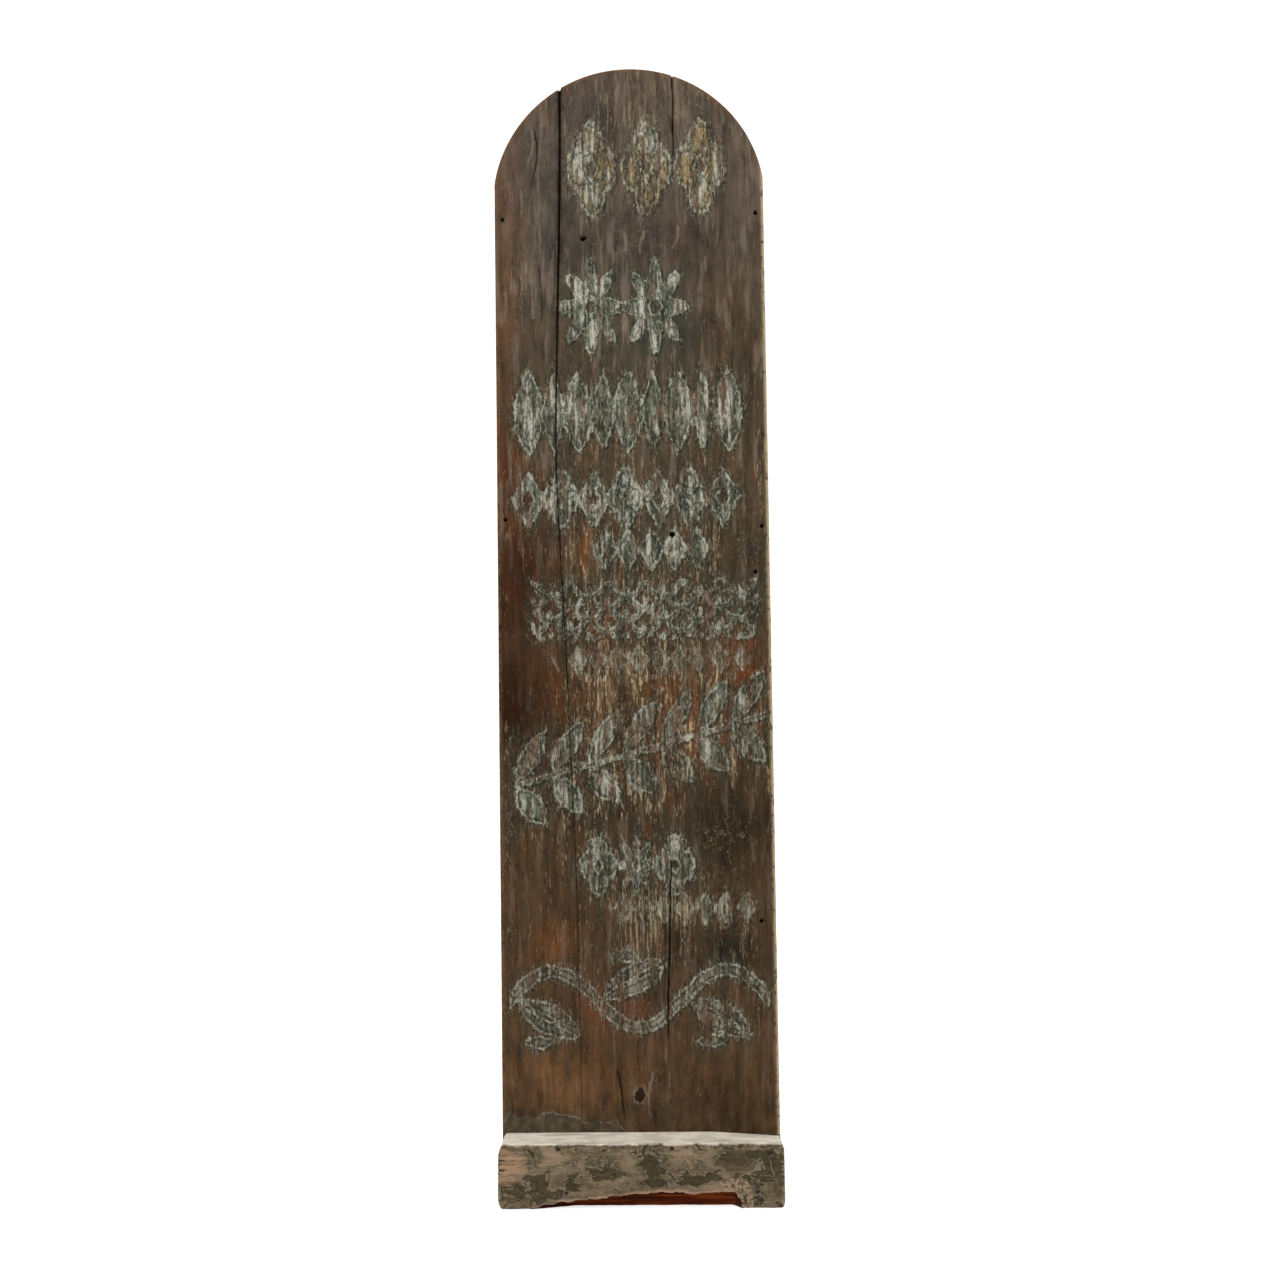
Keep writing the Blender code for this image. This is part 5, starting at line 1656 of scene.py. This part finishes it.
class SIGN_OT_studio(bpy.types.Operator):
    """Adds the floor, the backdrop, the lamps, the even light and the camera"""

    bl_idname = "sign_board.studio"
    bl_label = "Studio"

    def execute(self, context):
        scene = context.scene
        settings = scene.sign_studio
        scene.view_settings.view_transform = "Standard"
        left, right = -STUDIO_HALF_WIDTH, STUDIO_HALF_WIDTH
        front, back = (FLOOR_FRONT, FLOOR_LEVEL), (BACKDROP_AT, FLOOR_LEVEL)
        top = (BACKDROP_AT, BACKDROP_HEIGHT)
        for name, near, far in (("floor", front, back), ("backdrop", back, top)):
            corners = [(left, *near), (right, *near), (right, *far), (left, *far)]
            mesh = bpy.data.meshes.new(name)
            mesh.from_pydata(corners, [], [(0, 1, 2, 3)])
            mesh.materials.append(studio_white("studio_" + name, STUDIO_GLOW))
            piece = bpy.data.objects.new(name, mesh)
            scene.collection.objects.link(piece)
        world = bpy.data.worlds.new("studio")
        scene.world = world
        world.use_nodes = True
        tree = world.node_tree
        sky = tree.nodes["Background"]
        sky.inputs["Color"].default_value = (1.0, 1.0, 1.0, 1.0)
        seen = rays_seen(tree)
        level = tree.nodes.new("ShaderNodeMapRange")
        tree.links.new(seen, level.inputs["Value"])
        level.inputs["To Min"].default_value = settings.sky_strength
        level.inputs["To Max"].default_value = 1.0
        tree.links.new(level.outputs[0], sky.inputs["Strength"])
        for name, place, aim, size, power in LAMPS:
            self.lamp(name, place, aim, size, getattr(settings, power))
        self.camera(scene, settings)
        return {"FINISHED"}

    def lamp(self, name, place, aim, size, power):
        light = bpy.data.lights.new(name, "AREA")
        light.shape = "DISK"
        light.size = size
        light.energy = power
        lamp = bpy.data.objects.new(name, light)
        lamp.location = place
        away = Vector(place) - Vector(aim)
        lamp.rotation_euler = away.to_track_quat("Z", "Y").to_euler()
        bpy.context.scene.collection.objects.link(lamp)

    def camera(self, scene, settings):
        """The camera's place, and its turn as roll, pitch and yaw about Y, X and Z."""
        data = bpy.data.cameras.new("camera")
        data.lens = settings.focal_length
        data.sensor_width = SENSOR_WIDTH
        camera = bpy.data.objects.new("camera", data)
        turn = (
            Matrix.Rotation(CAMERA_YAW, 4, "Z")
            @ Matrix.Rotation(CAMERA_PITCH, 4, "X")
            @ Matrix.Rotation(CAMERA_ROLL, 4, "Y")
            @ Matrix.Rotation(math.radians(90), 4, "X")
        )
        camera.matrix_world = Matrix.Translation(CAMERA_PLACE) @ turn
        scene.collection.objects.link(camera)
        scene.camera = camera


class SIGN_OT_planks(bpy.types.Operator):
    """Makes the two planks of the board, with their old paint"""

    bl_idname = "sign_board.planks"
    bl_label = "Planks"

    def execute(self, context):
        material = painted_board()
        for name, side, seed in (("wide_plank_surface", 1, 100), ("narrow_plank_surface", -1, 200)):
            plank = plank_surface(name, side, seed, PLANK_LAYOUT, material)
            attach(plank, BODY)
            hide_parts("wide_plank" if side > 0 else "narrow_plank")
        return {"FINISHED"}


class SIGN_OT_rails(bpy.types.Operator):
    """Makes the front and back foot rails"""

    bl_idname = "sign_board.rails"
    bl_label = "Foot Rails"

    def execute(self, context):
        material = weathered_rail()
        for name, facing, seed in (("front_rail_surface", -1, 300), ("back_rail_surface", 1, 400)):
            rail = rail_surface(name, facing, seed, RAIL_LAYOUT, material)
            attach(rail, BODY)
            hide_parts("front_rail" if facing < 0 else "back_rail")
        return {"FINISHED"}


class SIGN_OT_nails(bpy.types.Operator):
    """Gives the cut nails their rust"""

    bl_idname = "sign_board.nails"
    bl_label = "Nails"

    def execute(self, context):
        material = rusted_iron()
        for name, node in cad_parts.items():
            if "nail" in name:
                for slot in node.material_slots:
                    slot.material = material
        return {"FINISHED"}


class SIGN_PT_panel(bpy.types.Panel):
    """Lists the steps and the sizes of the sign board"""

    bl_label = "Sign Board"
    bl_idname = "SIGN_PT_panel"
    bl_space_type = "VIEW_3D"
    bl_region_type = "UI"
    bl_category = "Sign Board"

    def draw(self, context):
        layout = self.layout
        for step in STEPS:
            layout.operator(step.bl_idname)
        for group in (context.scene.sign_board, context.scene.sign_colours, context.scene.sign_studio):
            for key in group.__annotations__:
                layout.prop(group, key)


STEPS = (SIGN_OT_studio, SIGN_OT_planks, SIGN_OT_rails, SIGN_OT_nails)
CLASSES = (SignBoardSettings, ColourSettings, StudioSettings, *STEPS, SIGN_PT_panel)


def register():
    for cls in CLASSES:
        bpy.utils.register_class(cls)
    bpy.types.Scene.sign_board = bpy.props.PointerProperty(type=SignBoardSettings)
    bpy.types.Scene.sign_colours = bpy.props.PointerProperty(type=ColourSettings)
    bpy.types.Scene.sign_studio = bpy.props.PointerProperty(type=StudioSettings)


def unregister():
    del bpy.types.Scene.sign_studio
    del bpy.types.Scene.sign_colours
    del bpy.types.Scene.sign_board
    for cls in reversed(CLASSES):
        bpy.utils.unregister_class(cls)


def main():
    register()
    bpy.ops.sign_board.studio()
    bpy.ops.sign_board.planks()
    bpy.ops.sign_board.rails()
    bpy.ops.sign_board.nails()


if __name__ == "__main__":
    main()
